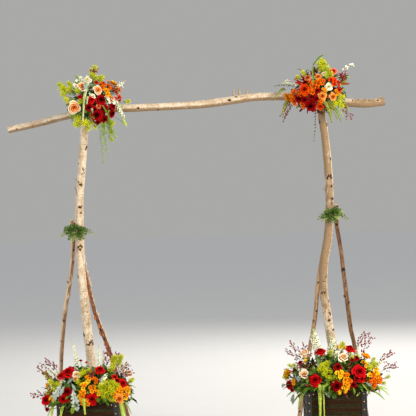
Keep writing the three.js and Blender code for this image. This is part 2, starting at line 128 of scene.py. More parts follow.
def new_group(build, inputs, outputs):
    """A node group that build fills, with its inputs and outputs by name."""
    tree = bpy.data.node_groups.new(build.__name__, "ShaderNodeTree")
    for direction, labels in (("INPUT", inputs), ("OUTPUT", outputs)):
        for label in labels:
            kind = "Vector" if label == "Place" else "Color" if label in COLOURS else "Float"
            tree.interface.new_socket(label, in_out=direction, socket_type="NodeSocket" + kind)
    given, out = tree.nodes.new("NodeGroupInput").outputs, tree.nodes.new("NodeGroupOutput").inputs
    for label, value in zip(outputs, build(*(Value(tree, given[label]) for label in inputs))):
        join(tree, value, out[label])
    return tree


def bark_marks(place, knot, dash_share, line_share):
    """Lines, lenticels, tinted patches, scars and height of a bark that runs round its pole."""
    ragged = ((place * (90, 90, 160)).noise() - 0.5) * 0.55
    lines = (place * (16, 16, 330)).noise(4).step(0.50, 0.72) * line_share
    sparse = (place * (26, 26, 20)).noise(2).step(0.45, 0.62)
    edge = dash_share * -0.3 + 0.80
    dashes = (place * (40, 40, 230)).noise(3, 0.45).step(edge, edge + 0.05) * (sparse * 0.8 + 0.2)
    patches = (place * (30, 30, 13)).noise(6, 0.66).step(0.42, 0.60)
    scars = (knot + ragged).step(0.30, 0.52)
    height = (place * (110, 110, 190)).noise(4) + lines * 0.35 - scars.sum_up("MAXIMUM", dashes) * 0.9
    return lines, dashes, patches, scars, height


def petal_shade(place, tone, whorl, heart, body, rim, fold, spread, rim_from):
    """Colour of a petal from its foot to its rim, and from the heart of the flower to its outer whorl, with
    painted shade towards the foot and along the veins.
    """
    along = place.parts()[1]
    ground = mix((whorl + (tone - 0.5) * 0.3).step(0.05, spread), heart, body)
    veins = (place * (9.0, 1.6, 7.0)).noise()
    rim_share = (along + veins * 0.3).step(rim_from, rim_from + 0.37) * whorl.step(0.25, 0.9, 0.2, 1.0)
    rimmed = mix(rim_share, ground, rim)
    # Painted shade: the petal's colour darkened towards its foot and along its veins.
    shaded = mix(1.0, rimmed, fold, "MULTIPLY")
    foot_shaded = mix(along.step(0.15, 0.62, 0.85, 0.0), rimmed, shaded)
    return mix(veins.step(0.5, 0.72, 0.0, 0.28), foot_shaded, shaded), veins


def leaf_shade(place, tone, blade, young, vein, vein_share):
    """Colour of a leaf: blade, midrib and side veins, and a lighter young share."""
    across, along, _ = place.parts()
    across = across.sum_up("ABSOLUTE")
    ribs = (along * 46.0 - across * 16.0).sum_up("SINE").step(0.80, 1.0, 0.0, 0.55)
    veins = across.step(0.04, 0.16, 1.0, 0.0).sum_up("MAXIMUM", ribs) * vein_share
    spots = place.noise(4, 0.55, 5.0)
    ground = mix((tone + spots * 0.35).step(0.45, 1.1), blade, young)
    ground = mix(along.step(0.0, 0.25, 0.35, 0.0), ground, young)
    return mix(veins, ground, vein), veins + spots * 0.4


def timber_grain(place, edge):
    """Grain, worn edges and height of a stained board; X of the place runs along the grain."""
    grain = (place * (7.0, 160.0, 160.0)).noise(5, 0.62).step(0.36, 0.68)
    broad = (place * (5.0, 26.0, 26.0)).noise()
    wear = (edge + place.noise(4, 0.7, 70.0) * 0.9).step(0.85, 1.25)
    return grain * 0.65 + broad * 0.35, wear, grain - wear * 0.4


def fine_grain(place, size):
    """A fine even mottle with its height, for anything that only needs a little life."""
    coarse = place.noise(4, 0.5, size)
    return coarse.step(0.3, 0.7), coarse + place.noise(2, 0.5, size * 4.3) * 0.5


# Colours of the painted shade that darkens petals towards their foot and along their veins.
DARK_PETAL_SHADE = (0.62, 0.48, 0.45)
PALE_PETAL_SHADE = (0.95, 0.84, 0.64)
BARK_MARKS = new_group(
    bark_marks, ("Place", "Knot", "Dash Share", "Line Share"),
    ("Lines", "Dashes", "Patches", "Scars", "Height"))
PETAL_SHADE = new_group(
    petal_shade, ("Place", "Tone", "Whorl", "Heart", "Body", "Rim", "Fold", "Spread", "Rim From"),
    ("Colour", "Height"))
LEAF_SHADE = new_group(
    leaf_shade, ("Place", "Tone", "Blade", "Young", "Vein", "Vein Share"), ("Colour", "Height"))
TIMBER_GRAIN = new_group(timber_grain, ("Place", "Edge"), ("Grain", "Wear", "Height"))
FINE_GRAIN = new_group(fine_grain, ("Place", "Size"), ("Mottle", "Height"))


class Finish:
    """A material in the making; constants go on the shader's own sockets."""

    def __init__(self, name, specular, **constants):
        self.material = bpy.data.materials.new(name)
        self.material.use_nodes = True
        self.tree = self.material.node_tree
        self.shader = self.tree.nodes["Principled BSDF"]
        for key, value in {"Specular_IOR_Level": specular, **constants}.items():
            self.shader.inputs[key.replace("_", " ")].default_value = value

    def painted(self, label):
        """A value that the mesh itself carries."""
        output = "Vector" if label == "place" else "Fac"
        return wire(self.tree, "Attribute", {}, output, attribute_name=label, attribute_type="GEOMETRY")

    def grouped(self, group, *values):
        """The outputs of a node group; its inputs are given in order."""
        made = node(self.tree, "Group", dict(enumerate(values)), node_tree=group)
        return [Value(self.tree, socket) for socket in made.outputs]

    def done(self, colour, roughness, height, strength, depth):
        """Feeds the shader and gives the material."""
        bump = wire(self.tree, "Bump", {"Height": height, "Strength": strength, "Distance": depth})
        for label, value in (("Base Color", colour), ("Roughness", roughness), ("Normal", bump)):
            join(self.tree, value, self.shader.inputs[label])
        return self.material


def bark_finish(name, pale, warm, tint, line, scar, dash_share, line_share, roughness):
    """Bark of a pole: pale ground, warm patches, painted shade on one side (a painted highlight on the red
    peeling leg), thin lines and dark scars.
    """
    look = Finish(name, 0.3)
    mark = look.painted("mark")
    lines, dashes, patches, scars, height = look.grouped(
        BARK_MARKS, look.painted("place"), mark, dash_share, line_share)
    ground, speck = mix(patches, pale, warm), tuple((a + b) / 2 for a, b in zip(line, scar))
    # The tint goes where the tone is high: painted shade on one side of the pole, a painted highlight on the
    # red peeling leg.
    for share, over in (
            (look.painted("tone").step(0.35, 0.9), tint), (lines, line), (dashes, scar),
            (mark.step(0.05, 0.45, 0.0, 0.45), line), (scars, mix(mark.step(0.42, 0.80), speck, scar))):
        ground = mix(share, ground, over)
    return look.done(ground, scars.step(0.0, 1.0, roughness, 0.95), height, 0.7, 0.0012)


def petal_finish(name, heart, body, rim, spread=0.6, rim_from=0.78, fold=DARK_PETAL_SHADE):
    """A soft petal, darker or lighter towards the heart, with a rim of another colour; in the red roses the
    darker heart is painted shade and the lighter rim a painted highlight.
    """
    look = Finish(name, 0.05)
    carried = [look.painted(label) for label in ("place", "tone", "mark")]
    shade, height = look.grouped(PETAL_SHADE, *carried, heart, body, rim, fold, spread, rim_from)
    return look.done(shade, 0.64, height, 0.35, 0.0008)


def leaf_finish(name, blade, young, vein, vein_share=0.5, roughness=0.5, specular=0.25):
    look = Finish(name, specular)
    carried = [look.painted(label) for label in ("place", "tone")]
    shade, height = look.grouped(LEAF_SHADE, *carried, blade, young, vein, vein_share)
    return look.done(shade, roughness, height, 0.4, 0.0006)


def grained_finish(name, dark, light, size, roughness, depth=0.0005, by_tone=0.5, metallic=0.0, coat=0.0):
    """Stems, beads, berries, curls, metal: two colours by a fine mottle and by each surface's own tone."""
    look = Finish(name, 0.3, Metallic=metallic, Coat_Weight=coat)
    mottle, height = look.grouped(FINE_GRAIN, look.painted("place"), size)
    share = look.painted("tone") * by_tone + mottle * (1.0 - by_tone)
    rough = mottle.step(0.0, 1.0, roughness - 0.07, roughness + 0.07)
    return look.done(mix(share, dark, light), rough, height, 0.5, depth)


def timber_finish(name, dark, light, worn):
    look = Finish(name, 0.05)
    grain, wear, height = look.grouped(TIMBER_GRAIN, look.painted("place"), look.painted("mark"))
    board = mix(grain, dark, light)
    board = mix(look.painted("tone").step(0.0, 1.0, 0.0, 0.45), board, light)
    return look.done(mix(wear, board, worn), grain.step(0.0, 1.0, 0.48, 0.7), height, 0.6, 0.0007)


def twine_finish(name, dark, light, groove_shade):
    """Twisted natural twine, with painted shade in the hollow between its strands."""
    look = Finish(name, 0.15)
    mottle, height = look.grouped(FINE_GRAIN, look.painted("place"), 900.0)
    straw = mix(mottle, dark, light)
    # Painted shade in the hollow between the strands.
    straw = mix(look.painted("mark").step(0.0, 0.5, 0.75, 0.0), straw, groove_shade)
    return look.done(straw, mottle.step(0.0, 1.0, 0.85, 0.98), height, 0.6, 0.0005)


def sawn_end_finish(name, pale, dark, rim):
    """End grain: rings round the middle of the pole, with a darker rim."""
    look = Finish(name, 0.25)
    place = look.painted("place")
    away = wire(look.tree, "VectorMath", {0: place * (1.0, 1.0, 0.0)}, "Value", operation="LENGTH")
    rings = ((away + place.noise(3, 0.55, 60.0) * 0.006) * 1900.0).sum_up("SINE")
    wood = mix(rings.step(-0.2, 1.0), pale, dark)
    wood = mix(look.painted("mark").step(0.85, 1.0), wood, rim)
    return look.done(wood, rings.step(-1.0, 1.0, 0.75, 0.9), rings, 0.3, 0.0006)


FINISHES = (
    (bark_finish, {  # pale, warm, tint (painted shade on one side; a painted highlight on the red peeling leg), lines, scars, share of dashes, share of lines, roughness
        "birch_bark": ((0.72, 0.61, 0.44), (0.53, 0.39, 0.25), (0.29, 0.19, 0.10), (0.36, 0.21, 0.11),
            (0.040, 0.024, 0.017), 0.50, 0.6, 0.72),
        "pale_tan_bark": ((0.72, 0.56, 0.35), (0.50, 0.33, 0.19), (0.21, 0.105, 0.05), (0.20, 0.12, 0.07),
            (0.045, 0.026, 0.018), 0.5, 0.7, 0.8),
        "tan_bark": ((0.50, 0.33, 0.17), (0.34, 0.20, 0.10), (0.15, 0.075, 0.04), (0.18, 0.10, 0.06),
            (0.035, 0.02, 0.015), 0.5, 0.7, 0.8),
        "brown_bark": ((0.36, 0.20, 0.095), (0.20, 0.10, 0.045), (0.085, 0.04, 0.022), (0.10, 0.05, 0.03),
            (0.022, 0.012, 0.009), 0.55, 0.8, 0.8),
        # Its tint is pale: a painted highlight on the side of the leg that faces the light.
        "red_peeling_bark": ((0.34, 0.14, 0.065), (0.13, 0.05, 0.028), (0.82, 0.72, 0.56),
            (0.12, 0.045, 0.03), (0.03, 0.014, 0.010), 0.75, 0.8, 0.75)}),
    (petal_finish, {  # heart, body, rim, how far the heart spreads, where the rim starts, colour of the painted shade at the foot and along the veins
        # In bright_red and crimson the darker heart is painted shade and the lighter rim a painted highlight.
        "bright_red": ((0.24, 0.0, 0.001), (0.48, 0.001, 0.003), (0.72, 0.006, 0.008), 0.4),
        "crimson": ((0.07, 0.0, 0.001), (0.20, 0.0005, 0.002), (0.42, 0.002, 0.004), 0.6),
        "coral": ((0.60, 0.02, 0.01), (0.86, 0.07, 0.04), (0.93, 0.24, 0.16)),
        "brick": ((0.50, 0.03, 0.006), (0.72, 0.13, 0.035), (0.86, 0.32, 0.13)),
        "flame": ((0.50, 0.008, 0.0), (0.84, 0.042, 0.001), (0.90, 0.11, 0.003)),
        "peach": ((0.88, 0.20, 0.01), (0.96, 0.48, 0.13), (0.97, 0.72, 0.38), 0.9, 0.8, PALE_PETAL_SHADE),
        "pale_peach": ((0.95, 0.56, 0.26), (0.98, 0.74, 0.46), (0.99, 0.88, 0.68), 0.7, 0.8, PALE_PETAL_SHADE),
        "cream_edge": ((0.90, 0.25, 0.0), (0.96, 0.42, 0.05), (0.98, 0.90, 0.70), 1.2, 0.78, PALE_PETAL_SHADE),
        "cream": ((0.93, 0.82, 0.40), (0.97, 0.90, 0.60), (0.98, 0.95, 0.78), 0.6, 0.78, PALE_PETAL_SHADE),
        "apricot": ((0.74, 0.11, 0.004), (0.92, 0.28, 0.03), (0.96, 0.50, 0.14), 0.8),
        "amber": ((0.93, 0.46, 0.008), (0.86, 0.20, 0.002), (0.92, 0.36, 0.008), 0.8),
        "ember": ((0.84, 0.22, 0.003), (0.70, 0.05, 0.001), (0.86, 0.15, 0.004), 0.8),
        "gold": ((0.94, 0.66, 0.02), (0.90, 0.44, 0.004), (0.94, 0.60, 0.02), 0.8),
        "white": ((0.74, 0.80, 0.36), (0.92, 0.93, 0.80), (0.97, 0.97, 0.90), 0.5, 0.78, PALE_PETAL_SHADE)}),
    (leaf_finish, {  # blade, young share, veins, strength of the veins, roughness, specular
        "deep_leaf": ((0.018, 0.052, 0.004), (0.062, 0.125, 0.008), (0.20, 0.30, 0.04), 0.5, 0.42, 0.25),
        "wine_leaf": ((0.07, 0.008, 0.008), (0.24, 0.03, 0.02), (0.36, 0.08, 0.05)),
        "fresh_leaf": ((0.075, 0.165, 0.006), (0.27, 0.38, 0.015), (0.46, 0.56, 0.10)),
        "sage_leaf": ((0.13, 0.19, 0.035), (0.30, 0.36, 0.08), (0.46, 0.50, 0.18), 0.4),
        "silver_leaf": ((0.24, 0.29, 0.22), (0.52, 0.56, 0.48), (0.17, 0.22, 0.14), 0.7, 0.85, 0.15),
        "grass_blade": ((0.15, 0.30, 0.03), (0.42, 0.56, 0.09), (0.55, 0.66, 0.24), 0.5, 0.42),
        "rust_pod": ((0.15, 0.02, 0.006), (0.25, 0.04, 0.012), (0.28, 0.06, 0.02), 0.4, 0.6, 0.15),
        "plume": ((0.50, 0.56, 0.006), (0.92, 0.90, 0.02), (0.95, 0.93, 0.10), 0.3, 0.7, 0.12)}),
    (grained_finish, {  # dark, light, size of the grain, roughness, depth, share of the tone, metallic, coat
        "rust_curl": ((0.25, 0.07, 0.03), (0.60, 0.25, 0.08), 160.0, 0.7),
        "orange_curl": ((0.55, 0.17, 0.04), (0.86, 0.42, 0.13), 160.0, 0.6),
        "paper_curl": ((0.60, 0.42, 0.27), (0.88, 0.80, 0.68), 160.0, 0.7),
        "dead_wood": ((0.03, 0.018, 0.012), (0.16, 0.09, 0.05), 300.0, 0.9),
        "strap": ((0.010, 0.010, 0.010), (0.038, 0.036, 0.033), 120.0, 0.6, 0.0008, 0.5, 0.2),
        "brass": ((0.50, 0.34, 0.12), (0.86, 0.66, 0.30), 400.0, 0.32, 0.0002, 0.5, 1.0),
        "steel": ((0.45, 0.45, 0.44), (0.80, 0.80, 0.78), 400.0, 0.35, 0.0002, 0.5, 1.0),
        "liner": ((0.010, 0.030, 0.004), (0.036, 0.085, 0.011), 45.0, 0.48, 0.003, 0.0),
        "moss": ((0.02, 0.05, 0.01), (0.10, 0.18, 0.03), 90.0, 0.9, 0.004, 0.2),
        "bud": ((0.38, 0.48, 0.14), (0.76, 0.80, 0.48), 300.0, 0.6),
        "berry": ((0.10, 0.001, 0.004), (0.36, 0.003, 0.012), 200.0, 0.34, 0.0002, 0.8, 0.0, 0.4),
        "twig": ((0.07, 0.035, 0.02), (0.22, 0.12, 0.06), 250.0, 0.8),
        "stem": ((0.08, 0.16, 0.03), (0.26, 0.38, 0.08), 200.0, 0.55),
        "lime_tassel": ((0.25, 0.36, 0.02), (0.64, 0.72, 0.12), 260.0, 0.75, 0.001, 0.7),
        "pale_tassel": ((0.34, 0.42, 0.12), (0.74, 0.78, 0.44), 260.0, 0.75, 0.001, 0.7),
        "olive_tassel": ((0.12, 0.13, 0.015), (0.42, 0.42, 0.08), 260.0, 0.75, 0.001, 0.7)}),
    (timber_finish, {"timber": ((0.008, 0.0038, 0.0014), (0.039, 0.0178, 0.006), (0.085, 0.044, 0.018))}),
    (twine_finish, {"twine": ((0.34, 0.25, 0.13), (0.58, 0.46, 0.28), (0.12, 0.08, 0.04))}),
    (sawn_end_finish, {"sawn_end": ((0.62, 0.46, 0.28), (0.36, 0.24, 0.13), (0.16, 0.10, 0.07))}),
)
FINISH = {name: make(name, *looks) for make, table in FINISHES for name, looks in table.items()}


# Collecting surfaces into joined pieces.
class Bench:
    """Surfaces that become one joined piece or one form, with the values that each corner carries."""

    def __init__(self):
        self.points, self.faces, self.finishes, self.used, self.count = [], [], [], [], 0
        self.place, self.tone, self.mark = [], [], []

    def add(self, points, faces, finish, place, tone=0.5, mark=0.0):
        """Adds a surface; its finish reads the place, tone and mark of each corner."""
        points = np.asarray(points, float).reshape(-1, 3)
        if finish not in self.used:
            self.used.append(finish)
        self.points.append(points)
        self.faces += [[k + self.count for k in face] for face in np.asarray(faces, object).tolist()]
        self.finishes += [self.used.index(finish)] * len(faces)
        self.place.append(np.asarray(place, float).reshape(-1, 3))
        for store, value in ((self.tone, tone), (self.mark, mark)):
            store.append(np.full(len(points), value, float) if np.ndim(value) == 0 else np.ravel(value))
        self.count += len(points)

    def form(self):
        """Closes a shape that is made once and set many times: points, faces, places and marks."""
        points, place, mark = (np.concatenate(part) for part in (self.points, self.place, self.mark))
        return points, np.array(self.faces), place, mark

    def piece(self, name, slot, stands_for, smooth=True):
        """Makes the joined piece, rides it on the frame and lets it stand for its solids."""
        mesh = bpy.data.meshes.new(name)
        mesh.from_pydata(np.concatenate(self.points).tolist(), [], self.faces)
        for label, values in (("place", self.place), ("tone", self.tone), ("mark", self.mark)):
            kind, key = ("FLOAT_VECTOR", "vector") if label == "place" else ("FLOAT", "value")
            stored = mesh.attributes.new(label, kind, "POINT")
            stored.data.foreach_set(key, np.concatenate(values).astype(np.float32).ravel())
        for finish in self.used:
            mesh.materials.append(FINISH[finish])
        mesh.polygons.foreach_set("material_index", self.finishes)
        mesh.polygons.foreach_set("use_smooth", [smooth] * len(mesh.polygons))
        mesh.update()
        piece = add_object(name, mesh)
        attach(piece, "root")
        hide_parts(*stands_for)


def add_object(name, data):
    thing = bpy.data.objects.new(name, data)
    bpy.context.scene.collection.objects.link(thing)
    return thing


def grid_faces(rows, columns, closed=False):
    """Quads of a grid of points, row by row; closed joins the last column to the first."""
    width = columns if closed else columns - 1
    row, column = np.meshgrid(np.arange(rows - 1) * columns, np.arange(width), indexing="ij")
    after = (column + 1) % columns
    corners = [row + column, row + after, row + columns + after, row + columns + column]
    return np.stack([k.ravel() for k in corners], axis=1)


def whole_turn(steps):
    return np.linspace(0, 2 * pi, steps, endpoint=False)


def unit(vector):
    vector = np.asarray(vector, float)
    return vector / max(np.linalg.norm(vector), 1e-9)


def shaken(draw, *reaches):
    """A small random vector; a reach is one number for both ways, or a pair."""
    return np.array([draw(*reach) if isinstance(reach, tuple) else draw(reach) for reach in reaches])


def aim(direction, face=UP, spin=0.0):
    """Axes as columns: Z along the direction, Y as near to face as it can be, turned by spin about Z."""
    ahead = unit(direction)
    side = np.cross(face, ahead)
    if np.linalg.norm(side) < 1e-4:
        side = np.cross([1.0, 0.2, 0.1], ahead)
    side = unit(side)
    top = np.cross(ahead, side)
    c, s = cos(spin), sin(spin)
    return np.stack([side * c + top * s, top * c - side * s, ahead], axis=1)


def spoke(direction, turn):
    """A direction square to the given one, turned round it."""
    axes = aim(direction)
    return axes[:, 0] * cos(turn) + axes[:, 1] * sin(turn)


def on_path(path, share):
    """A spot on a path and the direction there."""
    k = share * (len(path) - 1)
    a = min(int(k), len(path) - 2)
    return path[a] + (path[a + 1] - path[a]) * (k - a), unit(path[a + 1] - path[a])


def along_path(points):
    """Side and across directions that follow a path without twisting; the first side is the front."""
    sides, acrosses, side = [], [], FRONT
    for tangent in np.gradient(points, axis=0):
        tangent = unit(tangent)
        side = side - tangent * side.dot(tangent)
        if np.linalg.norm(side) < 1e-3:
            side = np.cross(tangent, [0.3, 0.5, 0.8])
        side = unit(side)
        sides.append(side)
        acrosses.append(np.cross(tangent, side))
    return np.array(sides), np.array(acrosses)


def run_along(points):
    """How far each point of a path is from its first one."""
    return np.concatenate([[0], np.cumsum(np.linalg.norm(np.diff(points, axis=0), axis=1))])


def ring_ways(side, across, turn):
    """Outward directions all round a path."""
    return np.cos(turn)[:, None] * side[:, None] + np.sin(turn)[:, None] * across[:, None]


def tube_faces(rows, sides):
    """Faces of a closed tube with its two ends."""
    last = (rows - 1) * sides
    ends = [list(range(sides))[::-1], list(range(last, last + sides))]
    return grid_faces(rows, sides, True).tolist() + ends


def round_places(turn, radii, run):
    """Where each point of a round skin lies: across, across and along."""
    along = np.repeat(run[:, None], len(turn), axis=1)
    return np.stack([np.cos(turn) * radii, np.sin(turn) * radii, along], axis=2)


def tube(bench, points, radii, finish, sides, tone=0.5, mark=0.0):
    """A round stem, twig or cord through the points; radii are one for all, one a point or one a corner."""
    points, radii = np.asarray(points, float), np.asarray(radii, float)
    radii = np.broadcast_to(radii[:, None] if radii.ndim == 1 else radii, (len(points), sides))
    turn = whole_turn(sides)
    skin = points[:, None] + ring_ways(*along_path(points), turn) * radii[:, :, None]
    place = round_places(turn, radii, run_along(points))
    bench.add(skin, tube_faces(len(points), sides), finish, place, tone, mark)


def bent(start, end, lift, steps, lean=(0, 0, 0)):
    """A smooth bow from start to end: lift raises its middle, lean moves it sideways."""
    share = np.linspace(0, 1, steps + 1)[:, None]
    bow = 4 * share * (1 - share)
    return start + (end - start) * share + bow * (np.array([0, 0, lift]) + lean)


def stem(bench, start, end, lift, steps, thick=1.2, sides=5, finish="stem", tone=0.5):
    """A bent stalk, thick in millimetres of radius."""
    tube(bench, bent(start, end, lift, steps), thick * MM, finish, sides, tone)


def scatter(bench, form, spots, frames, sizes, tones, finish):
    """Sets a form at each spot, in its own frame and size."""
    total = len(spots)
    if not total:
        return
    shape, sides, place, mark = form
    frames = np.broadcast_to(frames, (total, 3, 3))
    sizes, tones = np.broadcast_to(sizes, (total,)), np.broadcast_to(tones, (total,))
    points = np.einsum("kij,nj->kni", frames * sizes[:, None, None], shape) + np.asarray(spots)[:, None]
    faces = (sides + (np.arange(total) * len(shape))[:, None, None]).reshape(-1, sides.shape[1])
    places, tones = np.tile(place, (total, 1)), np.repeat(tones, len(shape))
    bench.add(points, faces, finish, places, tones, np.tile(mark, total))


def bead_form():
    """A small round bead of twenty faces."""
    t = (1 + 5 ** 0.5) / 2
    points = np.array([(-1, t, 0), (1, t, 0), (-1, -t, 0), (1, -t, 0), (0, -1, t), (0, 1, t), (0, -1, -t),
        (0, 1, -t), (t, 0, -1), (t, 0, 1), (-t, 0, -1), (-t, 0, 1)], float) / np.hypot(1, t)
    faces = [(0, 11, 5), (0, 5, 1), (0, 1, 7), (0, 7, 10), (0, 10, 11), (1, 5, 9), (5, 11, 4), (11, 10, 2),
        (10, 7, 6), (7, 1, 8), (3, 9, 4), (3, 4, 2), (3, 2, 6), (3, 6, 8), (3, 8, 9), (4, 9, 5), (2, 4, 11),
        (6, 2, 10), (8, 6, 7), (9, 8, 1)]
    form = Bench()
    form.add(points, faces, "", points * 0.01, 0.5, 0.5)
    return form.form()


def egg_form(sides, rings, long, neck=0.0):
    """A berry or bud along Z."""
    form = Bench()
    share = np.linspace(0.02, 0.98, rings)
    wide = np.sin(share * pi) ** 0.8 * (1 - neck * share)
    points = round_places(whole_turn(sides), wide[:, None], -np.cos(share * pi) * long)
    form.add(points, grid_faces(rings, sides, True), "", points * 0.01, 0.5, 0.5)
    return form.form()


def leaf_form(wide, columns, rows, fold, droop, lobes=0, widest=0.45, wave=0.0):
    """A leaf of length 1 that grows along Z with its face to Y; its halves fold up and its tip droops."""
    form = Bench()
    u, v = np.meshgrid(np.linspace(-1, 1, columns + 1), np.linspace(0, 1, rows + 1))
    power = np.log(0.5) / np.log(widest)
    half = wide * np.sin(np.clip(v, 0.001, 0.999) ** power * pi) ** 0.75 + 0.012
    if lobes:
        half = half * (0.42 + 0.58 * np.abs(np.sin(lobes * pi * (v + 0.06))))
    bend = droop * v
    step = 1.0 / rows
    middle_z = np.concatenate([[0], np.cumsum(np.cos(bend[:-1, 0]) * step)])[:, None]
    middle_y = -np.concatenate([[0], np.cumsum(np.sin(bend[:-1, 0]) * step)])[:, None]
    lift = fold * np.abs(u) * half + wave * np.sin(v * 17 + u * 3) * np.abs(u) * half
    y = middle_y + lift * np.cos(bend)
    z = middle_z + lift * np.sin(bend) + lobes * 0.02 * np.abs(u)
    points = np.stack([u * half, y, z], axis=2)
    form.add(points, grid_faces(rows + 1, columns + 1), "", np.stack([u, v, u * 0], axis=2))
    return form.form()


def rose_form(seed, petals=23, columns=5, rows=5, ruffle=0.0, openness=1.0, heart_rise=0.58, fall=1.0):
    """A rose of radius 1 that faces Z: petals in a spiral, tight in the heart and rolled at the rim."""
    draw = Draw(seed)
    form = Bench()
    u, v = np.meshgrid(np.linspace(-1, 1, columns + 1), np.linspace(0, 1, rows + 1))
    for number in range(petals):
        t = number / (petals - 1)
        half = 1.75 - 1.02 * t ** 0.5
        lip = (0.09 + 0.88 * t ** 0.95) * openness
        foot = 0.03 + 0.2 * t
        top = heart_rise - (heart_rise + 0.06) * fall * t ** 1.4 + draw(0.035)
        low = -0.62 - 0.08 * t
        angle = number * GOLDEN + draw(0.15) + u * half * (0.5 + 0.5 * np.sin(pi * (0.9 * v + 0.05)) ** 0.7)
        roll = np.clip((v - 0.7) / 0.3, 0, 1) ** 2
        edge = np.abs(u) ** 2.4 * min(1, fall + 0.1)
        out = foot + (lip - foot) * np.sin(v * pi / 2) ** 1.3 + 0.13 * t * roll
        out = out * (1 + 0.07 * u * (1 - 0.5 * t)) - 0.07 * t * edge * v
        height = low + (top - low) * (1 - (1 - v) ** 1.7) - 0.15 * t * roll - (0.13 + 0.12 * t) * edge * v
        crimp = ruffle * np.sin(u * 11 + number * 2.3) * v ** 3
        out, height = out + crimp, height + crimp * 0.8 + ruffle * 0.5 * np.sin(u * 23 + number) * v ** 4
        points = np.stack([out * np.cos(angle), out * np.sin(angle), height], axis=2)
        place = np.stack([u, v, u * 0 + t * 3], axis=2)
        form.add(points, grid_faces(rows + 1, columns + 1), "", place, 0.5, t)
    return form.form()


def blossom_form(
        seed, petals, wide, columns=4, rows=5, funnel=0.95, rise=1.0, curl=0.14, tilt=0.0, stamens=3):
    """An open flower of radius 1 that faces Z: pointed petals of two widths round a funnel, with stamens."""
    draw = Draw(seed)
    form = Bench()
    u, v = np.meshgrid(np.linspace(-1, 1, columns + 1), np.linspace(0, 1, rows + 1))
    for number in range(petals):
        inner = number % 2
        half = wide[inner] * np.sin(pi * np.clip(v, 0.02, 0.985) ** 1.35) ** 0.7
        reach = (0.92 if inner else 1.0) * draw(0.92, 1.05)
        out = 0.04 + (reach - 0.04) * v ** 1.5 * funnel
        height = -0.7 * rise + 0.98 * rise * np.sin(v * pi / 2) ** 0.8 - curl * v ** 5 + 0.10 * inner * v
        height = height + 0.35 * half * u ** 2 + tilt * cos(number * 2 * pi / petals) * v
        turn = number * 2 * pi / petals + draw(0.08)
        side = u * half
        x, y = out * cos(turn) - side * sin(turn), out * sin(turn) + side * cos(turn)
        points = np.stack([x, y, height], axis=2)
        place = np.stack([u, v, u * 0 + number], axis=2)
        form.add(points, grid_faces(rows + 1, columns + 1), "", place, 0.5, 0.25 if inner else 0.9)
    for number in range(stamens):
        turn = number * GOLDEN
        share = np.linspace(0, 1, 3)
        away = 0.06 + 0.26 * share
        spine = np.stack([away * cos(turn), away * sin(turn), -0.3 + 0.75 * share ** 0.8], axis=1)
        ring = np.array([[0.018, 0, 0], [-0.009, 0.016, 0], [-0.009, -0.016, 0]])
        size = np.array([1, 1.1, 2.6])
        points = spine[:, None, :] + ring[None] * size[:, None, None]
        form.add(points, grid_faces(3, 3, True), "", [[0.0, 0.1, 5.0]] * 9)
    return form.form()


def plume_form(seed):
    """A feathery spray of length 1 along Z: arching side branches set with small pointed bracts."""
    branches, leaflets = 11, 6
    bract = np.array([[0, 0, 0], [0.22, 0.10, 0.45], [0, 0, 1.15], [-0.22, 0.10, 0.45]])
    place = [[0, 0, 0], [1, 0.5, 0], [0, 1, 0], [-1, 0.5, 0]]
    draw = Draw(seed)
    form = Bench()
    for number in range(branches):
        h = 0.10 + 0.86 * number / branches
        turn = number * GOLDEN
        long = 0.34 * (1 - 0.62 * h) + 0.05
        out = np.array([cos(turn), sin(turn), 0.0])
        for step in range(leaflets):
            share = (step + 0.6) / leaflets
            spot = np.array([0, 0, h]) + out * long * share + UP * long * (0.9 * share - 0.35 * share ** 2)
            way = out * draw(0.1, 1) + shaken(draw, 0.9, 0.9, (0.2, 1.4))
            points = bract * 0.118 * draw(0.7, 1.25) @ aim(way, UP + out * 0.2, draw(1)).T + spot
            form.add(points, [[0, 1, 2, 3]], "", place, 0.5, draw())
    return form.form()


BEAD = bead_form()
BERRY = egg_form(7, 5, 1.2)
BUD = egg_form(6, 5, 1.5, neck=0.45)
ROSES = [rose_form(seed) for seed in (3, 8, 14)]
OPEN_ROSE = rose_form(21, petals=22, heart_rise=0.34)
BUD_ROSE = rose_form(5, petals=16, openness=0.72, heart_rise=0.80, fall=0.42)
CARNATION = rose_form(11, petals=27, columns=8, rows=4, ruffle=0.055, heart_rise=0.5)
TEPALS = [blossom_form(seed, 6, (0.42, 0.30)) for seed in (2, 6, 9)]
SNAP = blossom_form(
    4, 5, (0.42, 0.36), columns=3, rows=4, funnel=0.8, rise=1.1, curl=0.3, tilt=0.25, stamens=0)
STAR = blossom_form(13, 5, (0.34, 0.34), rows=3, funnel=1.0, rise=0.35, curl=0.1)
PLUMES = [plume_form(seed) for seed in (1, 5, 12)]
BROAD_LEAF = leaf_form(0.27, 4, 6, fold=0.35, droop=0.7, wave=0.12)
SLIM_LEAF = leaf_form(0.13, 2, 6, fold=0.4, droop=0.9)
ROUND_LEAF = leaf_form(0.36, 4, 5, fold=0.25, droop=0.4, widest=0.55)
SILVER_LEAF = leaf_form(0.20, 6, 26, fold=0.3, droop=0.5, lobes=6, widest=0.55, wave=0.3)
SEPAL = leaf_form(0.16, 2, 4, fold=0.5, droop=1.9)
